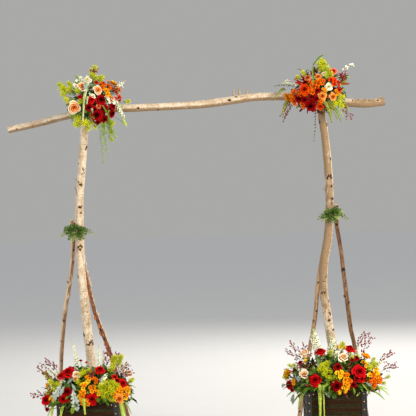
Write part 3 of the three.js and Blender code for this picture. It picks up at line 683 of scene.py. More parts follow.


# Poles as (bark, painted shade side, radius at the start and at the end, swells, route). A route runs from the
# floor, or from the beam's left end, in millimetres. The painted shade side is its turn from the front in
# degrees, how far round it reaches, and how strong it is; on the red peeling leg it is a painted highlight.
POLES = {
    "left_main_post": ("birch_bark", (-78, 0.1, 0.5), 31, 25, 17, [
        (-714, -164, 0), (-714, -139, 350), (-719, -121, 560), (-742, -101, 845), (-768, -78, 1170),
        (-773, -61, 1380), (-769, -42, 1625), (-745, -24, 1875), (-728, -9, 2070), (-731, 0, 2182)]),
    "right_main_post": ("birch_bark", (-60, -0.7, 1.15), 31, 24, 19, [
        (846, 22, 0), (847, 22, 280), (843, 20, 540), (809, 13, 825), (789, 12, 1003), (799, 10, 1182),
        (831, 9, 1359), (846, 6, 1600), (838, 4, 1860), (828, 2, 1985), (812, 1, 2128), (808, 0, 2216)]),
    "top_beam": ("birch_bark", (100, -0.15, 0.85), 22, 28, 20, [
        (-1220, 6, 2096), (-1039, 2, 2130), (-856, -2, 2170), (-719, 0, 2193), (-589, 4, 2209),
        (-324, 8, 2214), (13, 2, 2221), (208, -4, 2239), (384, -6, 2258), (578, -2, 2256), (739, 0, 2235),
        (991, 4, 2203), (1120, 6, 2196), (1220, 4, 2206)]),
    "left_outer_leg": ("pale_tan_bark", (50, 0.05, 1.0), 15, 13, 11, [
        (-1010, 515, 0), (-957, 297, 560), (-934, 229, 735), (-904, 160, 911), (-864, 94, 1080),
        (-832, 26, 1249), (-819, -22, 1376), (-817, -46, 1425), (-822, -74, 1500)]),
    "left_inner_leg": ("red_peeling_bark", (96, 0.42, 1.1), 15, 13, 11, [
        (-500, 518, 0), (-628, 300, 600), (-678, 235, 768), (-715, 186, 901), (-745, 122, 1074),
        (-765, 66, 1215), (-779, 10, 1365), (-790, -12, 1425), (-812, -26, 1482)]),
    "right_outer_leg": ("brown_bark", (62, -0.05, 0.75), 15, 13, 11, [
        (1112, 516, 0), (1004, 308, 627), (985, 272, 704), (961, 214, 894), (938, 152, 1080), (915, 92, 1265),
        (892, 44, 1401), (887, 14, 1480), (887, -8, 1546)]),
    "right_inner_leg": ("tan_bark", (75, 0.25, 1.0), 15, 13, 11, [
        (618, 518, 0), (641, 478, 130), (712, 329, 596), (734, 293, 710), (753, 247, 851), (770, 187, 1038),
        (820, 98, 1317), (867, 47, 1480), (884, 30, 1530)]),
}
BARK_SWELL = 0.035
BIRCH_SIDES = 50
LEG_SIDES = 28
CURLS = 96

# Scars as (kind, height or distance along X, turn from the front in degrees, width, height, lean in degrees),
# in millimetres: o is an eye, n an arched brow, s a speckled patch and l a streak.
SCARS = {
    "left_main_post": [
        ("o", 1968, 60, 9, 13), ("l", 1950, 40, 5, 22, -25), ("l", 1820, 34, 6, 58, -24),
        ("o", 1722, 14, 15, 10, 25), ("o", 1738, -22, 7, 5), ("o", 1700, -80, 11, 26),
        ("l", 1672, -48, 5, 24, 40), ("o", 1580, 14, 13, 10), ("o", 1545, 30, 6, 6), ("n", 1320, 6, 16, 18),
        ("o", 1308, 2, 9, 8), ("o", 1140, -62, 8, 10), ("s", 985, 40, 22, 62), ("s", 1040, 20, 14, 26),
        ("s", 838, 30, 34, 34), ("o", 768, -58, 10, 15), ("s", 735, 30, 30, 34), ("n", 700, 30, 22, 20),
        ("s", 560, -10, 26, 40), ("o", 1860, -58, 6, 5), ("o", 2040, -64, 5, 5), ("s", 1790, 40, 12, 60),
        ("s", 1240, 50, 10, 40), ("n", 480, 20, 24, 16), ("o", 250, 20, 14, 10), ("s", 150, -120, 24, 50),
        ("s", 905, 10, 26, 50), ("s", 640, 0, 26, 46), ("s", 1420, 20, 14, 50)],
    "right_main_post": [
        ("o", 2062, 70, 10, 16, -20), ("o", 2085, -60, 9, 14), ("o", 1842, 52, 9, 11),
        ("l", 1826, 34, 5, 18, -30), ("n", 1718, 4, 19, 24), ("o", 1668, 34, 9, 9), ("o", 1668, 86, 8, 22),
        ("o", 1645, -84, 9, 10), ("o", 1584, 40, 15, 9), ("l", 1555, 22, 4, 26), ("l", 1552, 50, 4, 30),
        ("o", 1350, 78, 6, 10), ("o", 1312, 82, 6, 8), ("o", 1245, 80, 5, 9), ("o", 1168, 76, 6, 9),
        ("o", 1112, -82, 8, 14), ("l", 1085, 40, 7, 24, 50), ("l", 1052, 5, 3, 26, 88),
        ("n", 972, -14, 15, 13), ("l", 920, 52, 8, 26, -50), ("o", 925, 70, 9, 9), ("o", 842, 40, 9, 13),
        ("o", 800, 10, 12, 11), ("s", 790, 44, 20, 26), ("l", 735, -22, 4, 20, 80), ("o", 733, 46, 13, 8),
        ("s", 700, 10, 30, 60), ("o", 660, 60, 8, 8), ("s", 900, -30, 20, 60), ("s", 600, 0, 30, 70),
        ("s", 1450, -30, 14, 60), ("s", 1180, -10, 20, 70), ("n", 300, 10, 26, 18), ("s", 330, -40, 26, 50),
        ("s", 1350, 30, 22, 60), ("s", 1260, 50, 22, 50), ("s", 1010, 30, 26, 55), ("s", 860, -10, 26, 50),
        ("s", 630, 40, 26, 60), ("s", 1530, 20, 14, 40)],
    "top_beam": [
        ("o", -1160, 20, 6, 6), ("s", -1075, 10, 24, 30), ("l", -1060, 40, 5, 18, 70), ("o", -985, 50, 6, 6),
        ("s", -940, 60, 20, 50), ("s", -560, 30, 20, 40), ("o", -520, 40, 7, 5), ("s", -450, 55, 26, 60),
        ("o", -372, 10, 6, 8), ("s", -300, 40, 26, 50), ("o", -250, 60, 9, 6), ("l", -160, 45, 3, 20, 85),
        ("s", -90, 62, 22, 70), ("o", -40, 48, 6, 6), ("s", 60, 66, 22, 60), ("l", 142, 30, 4, 18, 20),
        ("s", 175, 55, 18, 40), ("o", 215, 0, 9, 12, 30), ("o", 262, -40, 7, 10), ("l", 300, -20, 4, 22),
        ("s", 330, 52, 22, 50), ("s", 420, 60, 20, 50), ("l", 372, -50, 4, 24), ("o", 505, 42, 8, 6),
        ("l", 962, -30, 4, 22, 80), ("l", 1012, -28, 4, 20, 85), ("l", 1052, -62, 5, 26),
        ("l", 1090, -48, 5, 34), ("o", 1120, -30, 5, 6), ("s", 1150, 0, 14, 22), ("o", 1175, -20, 5, 7)],
    "left_outer_leg": [
        ("o", 1310, 30, 9, 9), ("o", 1232, 35, 6, 9), ("o", 1092, -60, 9, 9), ("o", 1010, 60, 5, 6),
        ("o", 842, 5, 9, 8), ("o", 700, 0, 8, 7), ("n", 560, 10, 9, 9), ("o", 420, 0, 8, 8),
        ("o", 200, -30, 8, 8)],
    "left_inner_leg": [
        ("l", 1180, 0, 8, 26), ("o", 1120, -20, 8, 14), ("s", 1050, 20, 14, 60), ("l", 985, 10, 8, 30, -20),
        ("o", 915, 40, 8, 12), ("s", 860, 0, 14, 60), ("l", 822, 25, 9, 34, -20), ("o", 775, -10, 10, 16),
        ("o", 705, 10, 9, 14), ("s", 640, 0, 14, 60), ("o", 450, 0, 10, 14), ("o", 250, 15, 9, 12)],
    "right_outer_leg": [
        ("o", 1424, -10, 8, 10), ("l", 1300, 20, 3, 60), ("o", 1120, 5, 12, 10), ("o", 1112, -70, 6, 9),
        ("l", 1020, -20, 3, 70), ("o", 938, -75, 9, 11), ("o", 896, 35, 8, 12), ("l", 800, 10, 3, 60),
        ("o", 740, 30, 7, 9), ("o", 520, 0, 9, 9), ("o", 300, 25, 8, 8)],
    "right_inner_leg": [
        ("o", 1040, 0, 8, 9), ("o", 1072, 20, 5, 8), ("l", 950, 10, 3, 60), ("o", 848, 30, 9, 9),
        ("o", 780, -30, 6, 8), ("o", 640, 15, 8, 9), ("o", 500, -10, 9, 9), ("o", 300, 10, 8, 8),
        ("o", 150, -20, 8, 8)],
}
# Broken-off twigs as (height or distance along X, turn from the front in degrees, length, radius).
TWIG_STUMPS = {
    "left_main_post": [(1700, -84, 12, 6), (1752, -86, 13, 4), (1968, 82, 7, 5)],
    "right_main_post": [(2062, 84, 12, 5), (1648, -86, 17, 5), (1668, 90, 7, 6)],
    "left_outer_leg": [(1092, -76, 8, 4), (1010, 82, 6, 3)],
    "right_outer_leg": [(938, -80, 8, 5), (896, 82, 6, 4)],
    "top_beam": [(250, -90, 34, 7), (288, -90, 40, 7), (332, -90, 30, 6), (1052, -80, 8, 5)],
}
def even_points(points, samples, endpoint=True):
    """Evenly spaced points along a line, and how far along it each one is."""
    length = run_along(points)
    even = np.linspace(0, length[-1], samples, endpoint=endpoint)
    return np.stack([np.interp(even, length, points[:, k]) for k in range(3)], axis=1), even


def curve_through(points, samples):
    """Evenly spaced points on a smooth curve through the given ones."""
    ends = [2 * points[0] - points[1], *points, 2 * points[-1] - points[-2]]
    traced = []
    for k in range(1, len(ends) - 2):
        x0, x1, x2, x3 = ends[k - 1:k + 3]
        d0, d1, d2 = (sqrt(max(np.linalg.norm(b - a), 1e-6)) for a, b in ((x0, x1), (x1, x2), (x2, x3)))
        t1 = ((x1 - x0) / d0 - (x2 - x0) / (d0 + d1) + (x2 - x1) / d1) * d1
        t2 = ((x2 - x1) / d1 - (x3 - x1) / (d1 + d2) + (x3 - x2) / d2) * d1
        w = np.linspace(0, 1, 40, endpoint=False)[:, None]
        square, cube = -3 * x1 + 3 * x2 - 2 * t1 - t2, 2 * x1 - 2 * x2 + t1 + t2
        traced.append(x1 + t1 * w + square * w ** 2 + cube * w ** 3)
    return even_points(np.concatenate([*traced, points[-1:]]), samples)


class Pole:
    """A pole's middle line, its radius and its own axes, in metres."""

    def __init__(self, name):
        self.bark, self.tint, root, tip, swells, route = POLES[name]
        self.name, self.axis = name, 0 if name == "top_beam" else 2
        route = np.array(route) * MM
        length = curve_through(route, 60)[1][-1]
        self.points, self.run = curve_through(route, int(length / (0.005 if root > 20 else 0.006)))
        share = self.run / self.run[-1]
        swell = 1 + BARK_SWELL * np.sin(pi * share * swells / 2.5) * np.sin(pi * share)
        self.radii = (root + (tip - root) * share) * swell * MM
        self.side, self.across = along_path(self.points)

    def row(self, value):
        """Number of the point that is nearest to a height (or X)."""
        return int(np.argmin(np.abs(self.points[:, self.axis] - value)))

    def at(self, value, turn, out):
        """Point, outward direction and number of the point at a height (or X) and a turn in radians."""
        k = self.row(value)
        outward = self.side[k] * cos(turn) + self.across[k] * sin(turn)
        return self.points[k] + outward * (self.radii[k] + out), outward, k


POLE = {name: Pole(name) for name in POLES}


def uneven(points, scale):
    """Smooth noise at each point, between -1 and 1."""
    values = [noise.noise(Vector(point) * scale) for point in points.reshape(-1, 3)]
    return np.reshape(values, points.shape[:-1])


def scar_shape(kind, a, b, ragged, specks):
    """How strongly a scar shows at places that are a and b scar sizes away from its middle."""
    away = np.sqrt(a ** 2 + b ** 2) * (1 + 0.75 * ragged)
    if kind == "n":
        return np.clip(1.30 - np.abs(away - 0.72) / 0.40, 0, 1) * np.clip((b + 0.45) * 2.5, 0, 1)
    if kind == "s":
        return np.clip(1.35 - away, 0, 0.44) * np.clip(0.50 + specks * 3.4, 0, 1)
    return np.clip(1.35 - away, 0, 1)


def scars_of(pole, turn, ragged, specks):
    """Marks and swellings of all scars of a pole; its unseen side repeats every second scar."""
    mark = swelling = np.zeros(ragged.shape)
    seen = SCARS[pole.name]
    unseen = [(kind, value + 45, degrees + 170, *size[:2]) for kind, value, degrees, *size in seen[::2]]
    for kind, value, degrees, wide, high, *lean in seen + unseen:
        middle = pole.row(value * MM)
        away = (turn - radians(degrees) + pi) % (2 * pi) - pi
        across, along = away[None, :] * pole.radii[middle], (pole.run - pole.run[middle])[:, None]
        lean = radians(sum(lean))
        a = (across * cos(lean) - along * sin(lean)) / (wide * MM)
        b = (across * sin(lean) + along * cos(lean)) / (high * MM)
        if kind == "l":
            a, b = a * 2, b * 2
        shape = scar_shape(kind, a, b, ragged, specks)
        mark = np.maximum(mark, shape)
        if kind != "s":
            swelling = swelling + 0.0022 * np.exp(-(a ** 2 + b ** 2) * 0.4) - 0.0026 * shape
    return mark, swelling


def bark_tone_and_shade(pole, turn, flat):
    """How dark the bark is: painted shade on one side (a painted highlight on the red peeling leg), uneven
    patches and the parts that the photo shows darker.
    """
    # The tinted side is painted shade; on the red peeling leg it is a painted highlight.
    painted_side_turn, reach, strength = pole.tint
    facing = np.clip((np.cos(turn - radians(painted_side_turn)) - reach) / 0.5, 0, 1)[None, :]
    patchy = uneven(flat * [1, 1, 0.35], 22) * 0.5 + uneven(flat * [1, 1, 0.3], 80) * 0.5
    tone = facing * strength * (0.85 + 0.6 * patchy) + 0.22 * uneven(flat, 30)
    x, z = pole.points[:, 0:1], pole.points[:, 2:3]
    if pole.name == "top_beam":
        tone = tone + 0.25 + np.clip((x - 0.93) / 0.10, 0, 1) * (0.50 + 0.65 * facing)
    elif pole.name == "right_main_post":
        tone = tone + 0.4 * np.clip(1.3 - np.abs(z - 1.18) / 0.28, 0, 1) * (0.3 + facing)
        tone = tone - 0.6 * np.clip((1.40 - z) / 0.40, 0, 1)
    return tone


def pole_skin(bench, pole, sides):
    """The bark of one pole with swellings, scars and its two sawn ends."""
    turn = whole_turn(sides)
    place = round_places(turn, pole.radii[:, None], pole.run)
    flat = place + np.array([0, 0, 3.7 * list(POLES).index(pole.name)])
    wobble = uneven(flat * [1, 1, 0.45], 26) * 0.045 + uneven(flat * [1, 1, 0.6], 75) * 0.018
    mark, swelling = scars_of(pole, turn, uneven(flat, 110), uneven(flat * [1, 1, 2.2], 170))
    out = pole.radii[:, None] * (1 + wobble) + swelling
    skin = pole.points[:, None] + ring_ways(pole.side, pole.across, turn) * out[:, :, None]
    if pole.axis == 2:
        tangent = unit(pole.points[1] - pole.points[0])
        skin[0] -= tangent * (skin[0][:, 2:3] / tangent[2])
        low = skin[:, :, 2] < 0
        skin[low] -= tangent * (skin[low][:, 2:3] / tangent[2])
    faces, tone = grid_faces(*skin.shape[:2], True), bark_tone_and_shade(pole, turn, flat)
    bench.add(skin, faces, pole.bark, place, tone, mark)
    shares = (1.0, 0.93, 0.7, 0.4, 0.08)
    faces = grid_faces(len(shares), sides, True)
    for end, way in ((0, -1), (-1, 1)):
        middle = skin[end].mean(axis=0)
        rings = [middle + (skin[end] - middle) * share for share in shares]
        spread = np.concatenate([place[end] * share for share in shares])
        spread[:, 2] = place[end][0, 2]
        bench.add(np.concatenate(rings), faces[:, ::way], "sawn_end", spread, 0.5, np.repeat(shares, sides))
        bench.add(rings[-1], [list(range(sides))], "sawn_end", spread[-sides:])


def twig_stump(bench, pole, value, degrees, long, radius):
    """A short broken twig on a pole, with a dark ragged end; the beam's twigs fan out."""
    root, outward, _ = pole.at(value * MM, radians(degrees), -4 * MM)
    fan = [(value - 268) / 300, 0, 0] if pole.name == "top_beam" else [0, 0, 0.45]
    way = unit(outward + fan)
    path = bent(root, root + way * (long + 4) * MM, 0, 4, outward * 0.001)
    tube(bench, path, np.linspace(radius * 1.25, radius * 0.85, 5) * MM, pole.bark, 9, 0.7, 0.25)
    end = [path[-2] * 0.25 + path[-1] * 0.75, path[-1] + way * 0.0006]
    tube(bench, end, [radius * 0.9 * MM, radius * 0.55 * MM], "dead_wood", 9, 0.3)


def bark_curl(bench, pole, value, degrees, high, long, roll, finish, tone):
    """A torn strip of bark that has let go along one edge and rolls away round the pole."""
    steps, rows = 7, 6
    points = []
    for number in range(rows):
        height = number / (rows - 1) - 0.5
        root, outward, k = pole.at((value + height * high) * MM, radians(degrees), 0.2 * MM)
        around = np.cross(outward, unit(pole.points[min(k + 1, len(pole.points) - 1)] - pole.points[k - 1]))
        torn = 1 + 0.5 * noise.noise(Vector((value, number * 1.7, degrees)))
        shrink = (1 - 1.9 * abs(height) ** 1.6) * torn
        for step in range(steps):
            angle = step / (steps - 1) * long / roll * max(shrink, 0.04)
            turned = around * sin(min(angle, 2.6)) + outward * (1 - cos(angle))
            points.append(root + turned * roll * MM)
    bench.add(points, grid_faces(rows, steps), finish, points, tone)


def add_poles():
    for name, pole in POLE.items():
        bench, draw = Bench(), Draw(name)
        pole_skin(bench, pole, BIRCH_SIDES if pole.bark == "birch_bark" else LEG_SIDES)
        for stump in TWIG_STUMPS.get(name, []):
            twig_stump(bench, pole, *stump)
        for number in range(CURLS if pole.bark == "red_peeling_bark" else 0):
            pale = number % 3 == 0
            place = draw(420, 1330), draw(55, 120) if pale else draw(-60, 45)
            size = draw(14, 46), draw(7, 15), draw(2.5, 5.5)
            finish = "paper_curl" if pale else draw.choice(["orange_curl", "rust_curl"])
            bark_curl(bench, pole, *place, *size, finish, draw())
        bench.piece(name + "_bark", "brown_bark" if "tan" in pole.bark else pole.bark, [name])


# Twine lashings, in metres.
TWINE = 2.4 * MM
TURN_STEP = 2.02 * TWINE
LASH_HEIGHT = {"left": 1.422, "right": 1.480}
LASH_HALF = 0.030
BEAM_JOINT = {"left": -0.730, "right": 0.808}


def twisted_cord(bench, path):
    """Two-strand twine along a path."""
    turn = whole_turn(6)
    lobe = np.abs(np.cos(turn - run_along(path)[:, None] * 420))
    tube(bench, path, TWINE * (0.72 + 0.30 * lobe), "twine", 6, 0.5, lobe)


def tripod_ring(side, height, out):
    """Evenly spaced points of a closed line drawn tight round the post and legs of one side at one height."""
    circles = []
    for part in ("main_post", "outer_leg", "inner_leg"):
        pole = POLE[f"{side}_{part}"]
        k = pole.row(height)
        circles.append((pole.points[k], pole.radii[k] * 1.04))
    loose = []
    for angle in whole_turn(240):
        toward = np.array([sin(angle), -cos(angle), 0.0])
        centre, radius = max(circles, key=lambda circle: circle[0].dot(toward) + circle[1])
        loose.append(centre + toward * (radius + out))
    ring, _ = even_points(np.array(loose + loose[:1]), 60, False)
    ring[:, 2] = height
    return ring


def add_leg_lashing(side):
    bench = Bench()
    middle = LASH_HEIGHT[side]
    turns = int(2 * LASH_HALF / TURN_STEP)
    heights = np.linspace(middle - LASH_HALF + TWINE, middle + LASH_HALF - TWINE, turns + 1)
    path = []
    for low, high in zip(heights, heights[1:]):
        ring = tripod_ring(side, (low + high) / 2, TWINE)
        ring[:, 2] = np.linspace(low, high, len(ring), endpoint=False)
        path.extend(ring)
    twisted_cord(bench, path)
    for tilt, phase in ((0.021, 0.0), (-0.020, 0.5), (0.015, 1.1)):
        ring = tripod_ring(side, middle, 2.7 * TWINE)
        swing = np.linspace(0, 2 * pi, len(ring)) + phase
        ring[:, 2] += tilt * np.sin(swing)
        twisted_cord(bench, np.concatenate([ring, ring[:2]]))
    bench.piece(f"{side}_leg_twine", "twine", [f"{side}_leg_lashing"])


def coil_round(bench, pole, low, high, out):
    """Twine wound side by side round one pole, between two heights (or X places)."""
    turns = max(2, int((high - low) / TURN_STEP))
    path = []
    for share in np.linspace(0, 1, turns * 30):
        k = np.interp(low + (high - low) * share, pole.points[:, pole.axis], np.arange(len(pole.points)))
        a = int(k)
        centre = pole.points[a] + (pole.points[a + 1] - pole.points[a]) * (k - a)
        turn = share * turns * 2 * pi
        outward = pole.side[a] * cos(turn) + pole.across[a] * sin(turn)
        path.append(centre + (pole.radii[a] * 1.04 + out) * outward)
    twisted_cord(bench, path)


def add_beam_lashing(side):
    bench = Bench()
    beam, post = POLE["top_beam"], POLE[f"{side}_main_post"]
    x = BEAM_JOINT[side]
    coil_round(bench, beam, x - 0.034, x + 0.034, TWINE)
    k = beam.row(x)
    height = beam.points[k][2]
    coil_round(bench, post, height - 0.085, height - beam.radii[k] - 0.002, TWINE)
    angle = np.linspace(0, 2 * pi, 60)
    for lean in (-1, 1):
        cross = [lean * 0.030 * np.cos(angle), -np.sin(angle) * 0.037, np.cos(angle) * 0.034 - 0.004]
        twisted_cord(bench, beam.points[k] + np.stack(cross, axis=1))
    bench.piece(f"{side}_beam_twine", "twine", [f"{side}_beam_lashing"])


def leafy_sprig(
        bench, path, leaf, size, finish, draw, pairs, thick=1.0, stem="stem", spread=0.9, face=(0, -1, 0.5)):
    """A stem with leaves in pairs, smaller towards its tip; thick is its radius in millimetres."""
    tube(bench, path, np.linspace(thick, thick * 0.45, len(path)) * MM, stem, 5, draw())
    leaves = []
    for number in range(pairs):
        share = 0.12 + 0.86 * number / (pairs - 1)
        spot, ahead = on_path(path, share)
        out = unit(np.cross(ahead, [draw(0.4), -1.0, draw(-0.2, 0.6)]))
        for hand in (-1, 1):
            way = ahead * draw(0.5, 0.9) + out * hand * spread + [0, -0.25, 0.05]
            leaves.append((spot, aim(way, face, draw(0.5)), size * (1.1 - 0.5 * share) * draw(0.8, 1.15),
                           min(1, 0.3 + 0.5 * share + draw(-0.25, 0.3))))
    leaves.append((path[-1], aim(path[-1] - path[-2], (0, -1, 0.5)), size * 0.6, 0.9))
    scatter(bench, leaf, *zip(*leaves), finish)


# Where the sprigs of each leg lashing point: (across, up) in millimetres from its middle.
SPRIG_TIPS = {
    "left": [
        (-84, 30), (-72, -4), (-60, -46), (-38, 42), (-30, -58), (10, 40), (30, -50), (62, 22), (78, -14),
        (58, -44), (-92, 12), (88, 10)],
    "right": [
        (-74, -34), (-62, -8), (-78, -14), (-30, 34), (-26, -44), (14, 42), (40, 46), (66, 34), (84, 20),
        (50, -24), (22, -46), (-48, 24), (70, 0)],
}
LASH_MIDDLE = {"left": -0.018, "right": 0.010}  # beside the post


def add_lashing_greens(side):
    """Leafy sprigs tucked all round the front of a leg lashing."""
    bench = Bench()
    draw = Draw("greens " + side)
    centre, _, _ = POLE[f"{side}_main_post"].at(LASH_HEIGHT[side], 0.0, 9 * MM)
    centre = centre + [LASH_MIDDLE[side], 0, 0]
    for across, up in SPRIG_TIPS[side]:
        root = centre + np.array([across * 0.12, draw(4), up * 0.12]) * MM
        tip = centre + np.array([across * 0.78, -draw(4, 30), up * 0.95]) * MM
        finish = draw.choice(["deep_leaf"] * 3 + ["sage_leaf"])
        leafy_sprig(bench, bent(root, tip, 0.008, 6, [0, -0.010, 0]), ROUND_LEAF, 0.021, finish, draw, 6)
    ring = tripod_ring(side, LASH_HEIGHT[side], 0.005)
    for turn in (100, 140, 220, 260):
        outward = np.array([sin(radians(turn)), -cos(radians(turn)), 0])
        spot = ring[int(len(ring) * turn / 360)]
        path = bent(spot, spot + outward * 0.05 + [0, 0, draw(0.03)], 0.008, 5)
        leafy_sprig(bench, path, ROUND_LEAF, 0.024, "sage_leaf", draw, 5, face=outward + UP * 0.4)
    bench.piece(f"{side}_lashing_sprigs", "foliage", [f"{side}_lashing_greens"])


# Crates, in metres.
SLATS = 8
SLAT_HIGH = 0.038
BROKEN_EDGE = 0.0016
CORNER_POST = 0.018
FLOOR_BOARDS = 5
FLOOR_WIDE, FLOOR_THICK, FLOOR_HEIGHT = 0.050, 0.010, 0.015
STRAP_LEG = 0.034
STRAP_THICK = 0.0016
STRAP_BEND = 0.0035
BRASS_RIVET, STEEL_RIVET = 4.4 * MM, 3.6 * MM
LINER_FOOT = 0.0215
X_WAY, Y_WAY = np.eye(3)[:2]
CORNERS = [np.array([sign_x, sign_y]) for sign_x in (-1, 1) for sign_y in (-1, 1)]


def board(bench, middle, long_way, high_way, out_way, long, high, thick, draw):
    """A sawn board with broken edges, very slightly cupped and bowed."""
    h, t, e = high / 2, thick / 2, BROKEN_EDGE
    outline = [(e - h, t), (0, t + 0.0002), (h - e, t), (h, t - e), (h, e - t), (h - e, -t), (0, -t),
        (e - h, -t), (-h, e - t), (-h, t - e)]
    wear = [0.5, 0.0, 0.5, 0.75, 0.4, 0.4, 0.0, 0.4, 0.4, 0.75]
    start, tone = draw(0, 9), draw()
    points, place, steps = [], [], np.linspace(-0.5, 0.5, 9)
    for along in steps * long:
        drift = 0.0004 * noise.noise(Vector((along * 9 + start, start, 0)))
        for a, b in outline:
            warp = 0.00035 * noise.noise(Vector((along * 14 + start, a * 60, b * 60)))
            points.append(middle + long_way * along + high_way * (a + drift) + out_way * (b + warp))
            place.append((along + start, a + start, b))
    bench.add(points, tube_faces(len(steps), len(outline)), "timber", place, tone, np.tile(wear, len(steps)))


def strap(bench, corner, sign_x, sign_y, height):
    """An angled corner strap with a rounded bend."""
    r, t, leg = STRAP_BEND, STRAP_THICK, STRAP_LEG
    bend = [(-r + r * sin(a), -r + r * cos(a)) for a in np.linspace(0, pi / 2, 6)]
    loop = [(-leg, 0), *bend, (0, -leg), (-t, -leg), (-t, -t), (-leg, -t)]
    outline = [(x * sign_x, y * sign_y) for x, y in loop]
    heights = np.linspace(0, height, 12)
    points = [corner + np.array([x, y, z]) for z in heights for x, y in outline]
    faces = tube_faces(len(heights), len(outline))
    if sign_x * sign_y > 0:
        faces = [face[::-1] for face in faces]
    bench.add(points, faces, "strap", points, 0.5)


def rivet(bench, spot, outward, radius, finish):
    """A domed rivet head."""
    wide, high = np.array([(1.0, -0.1), (0.98, 0.16), (0.72, 0.46), (0.36, 0.6), (0.04, 0.64)]).T
    place = round_places(whole_turn(10), wide[:, None], high).reshape(-1, 3) * radius
    head = place @ aim(outward, UP + 0.01).T + spot
    bench.add(head, grid_faces(5, 10, True), finish, place, 0.6)
    bench.add(head[-10:], [list(range(10))], finish, place[-10:], 0.6)


class Crate:
    """Where one crate stands and how large it is, read from the frame."""

    def __init__(self, side):
        name = f"{side}_crate"
        (low_x, low_y, _), (high_x, inner_y, height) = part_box(f"{name}_front")
        high_y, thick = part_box(f"{name}_back")[1].y, inner_y - low_y
        self.name, self.low_y, self.height, self.thick = name, low_y, height, thick
        self.middle = np.array([low_x + high_x, low_y + high_y]) / 2
        self.half = np.array([high_x - low_x, high_y - low_y]) / 2
        self.levels = [number * (height - SLAT_HIGH) / (SLATS - 1) + SLAT_HIGH / 2 for number in range(SLATS)]


def add_boards(crate, draw):
    """Slats of the four walls, a post in each corner and the boards of the bottom."""
    bench, thick, (x, y), half = Bench(), crate.thick, crate.middle, crate.half
    inside = 2 * (half - thick)
    for z in crate.levels:
        for sign in (-1, 1):
            spot = (x, y + sign * (half[1] - thick / 2), z)
            board(bench, spot, X_WAY, UP, Y_WAY * sign, 2 * half[0], SLAT_HIGH, thick, draw)
            spot = (x + sign * (half[0] - thick / 2), y, z)
            board(bench, spot, Y_WAY, UP, X_WAY * sign, inside[1], SLAT_HIGH, thick, draw)
    for signs in CORNERS:
        spot = (*(crate.middle + signs * (half - thick - 0.010)), crate.height / 2)
        board(bench, spot, UP, X_WAY, Y_WAY * signs[1], crate.height - 0.002, CORNER_POST, CORNER_POST, draw)
    for number in range(FLOOR_BOARDS):
        back = thick + 0.004 + (number + 0.5) * (inside[1] - 0.008) / FLOOR_BOARDS
        spot = (x, crate.low_y + back, FLOOR_HEIGHT)
        board(bench, spot, X_WAY, Y_WAY, UP, inside[0] - 0.002, FLOOR_WIDE, FLOOR_THICK, draw)
    walls = ("front", "back", "left_side", "right_side", "bottom")
    bench.piece(f"{crate.name}_boards", "dark_timber", [f"{crate.name}_{wall}" for wall in walls], False)


def add_straps(crate, draw):
    """An angled strap on each corner, with its rivets."""
    bench = Bench()
    for signs in CORNERS:
        corner = np.array([*(crate.middle + signs * (crate.half + STRAP_THICK + 0.0003)), 0])
        x_out, y_out = X_WAY * signs[0], Y_WAY * signs[1]
        strap(bench, corner, *signs, crate.height)
        for z in crate.levels:
            z += draw(1.5) * MM
            for way, along in ((y_out, x_out), (x_out, y_out)):
                rivet(bench, corner + UP * z - along * STRAP_LEG * 0.56, way, BRASS_RIVET, "brass")
        y = crate.middle[1] + signs[1] * crate.half[1]
        spot = np.array([corner[0] - signs[0] * 0.045, y, crate.height - 0.012])
        rivet(bench, spot, y_out, STEEL_RIVET, "steel")
    ends = ("front_left", "front_right", "back_left", "back_right")
    bench.piece(f"{crate.name}_straps", "dark_strap", [f"{crate.name}_{end}_strap" for end in ends], False)


def add_liner(crate):
    """A creased green liner inside the walls."""
    bench, points, shares = Bench(), [], np.linspace(0, 1, 24, endpoint=False)
    rim = np.array([[-1, -1], [1, -1], [1, 1], [-1, 1], [-1, -1]]) * (crate.half - crate.thick - 0.0022)
    around = [a + (b - a) * share for a, b in zip(rim, rim[1:]) for share in shares]
    heights = np.linspace(LINER_FOOT, crate.height - 0.001, 26)
    for z in heights:
        for across in around:
            x, y = crate.middle + across
            crease = 0.0022 * noise.noise(Vector((x * 14, y * 14, z * 9)))
            crease += 0.0012 * noise.noise(Vector((x * 50, y * 50, z * 20)))
            points.append((*(crate.middle + across * (0.988 - crease * 3)), z))
    bench.add(points, tube_faces(len(heights), len(around)), "liner", points)
    bench.piece(f"{crate.name}_planter_liner", "liner_plastic", [f"{crate.name}_liner"])


def add_crate(side):
    crate = Crate(side)
    draw = Draw(crate.name)
    add_boards(crate, draw)
    add_straps(crate, draw)
    add_liner(crate)


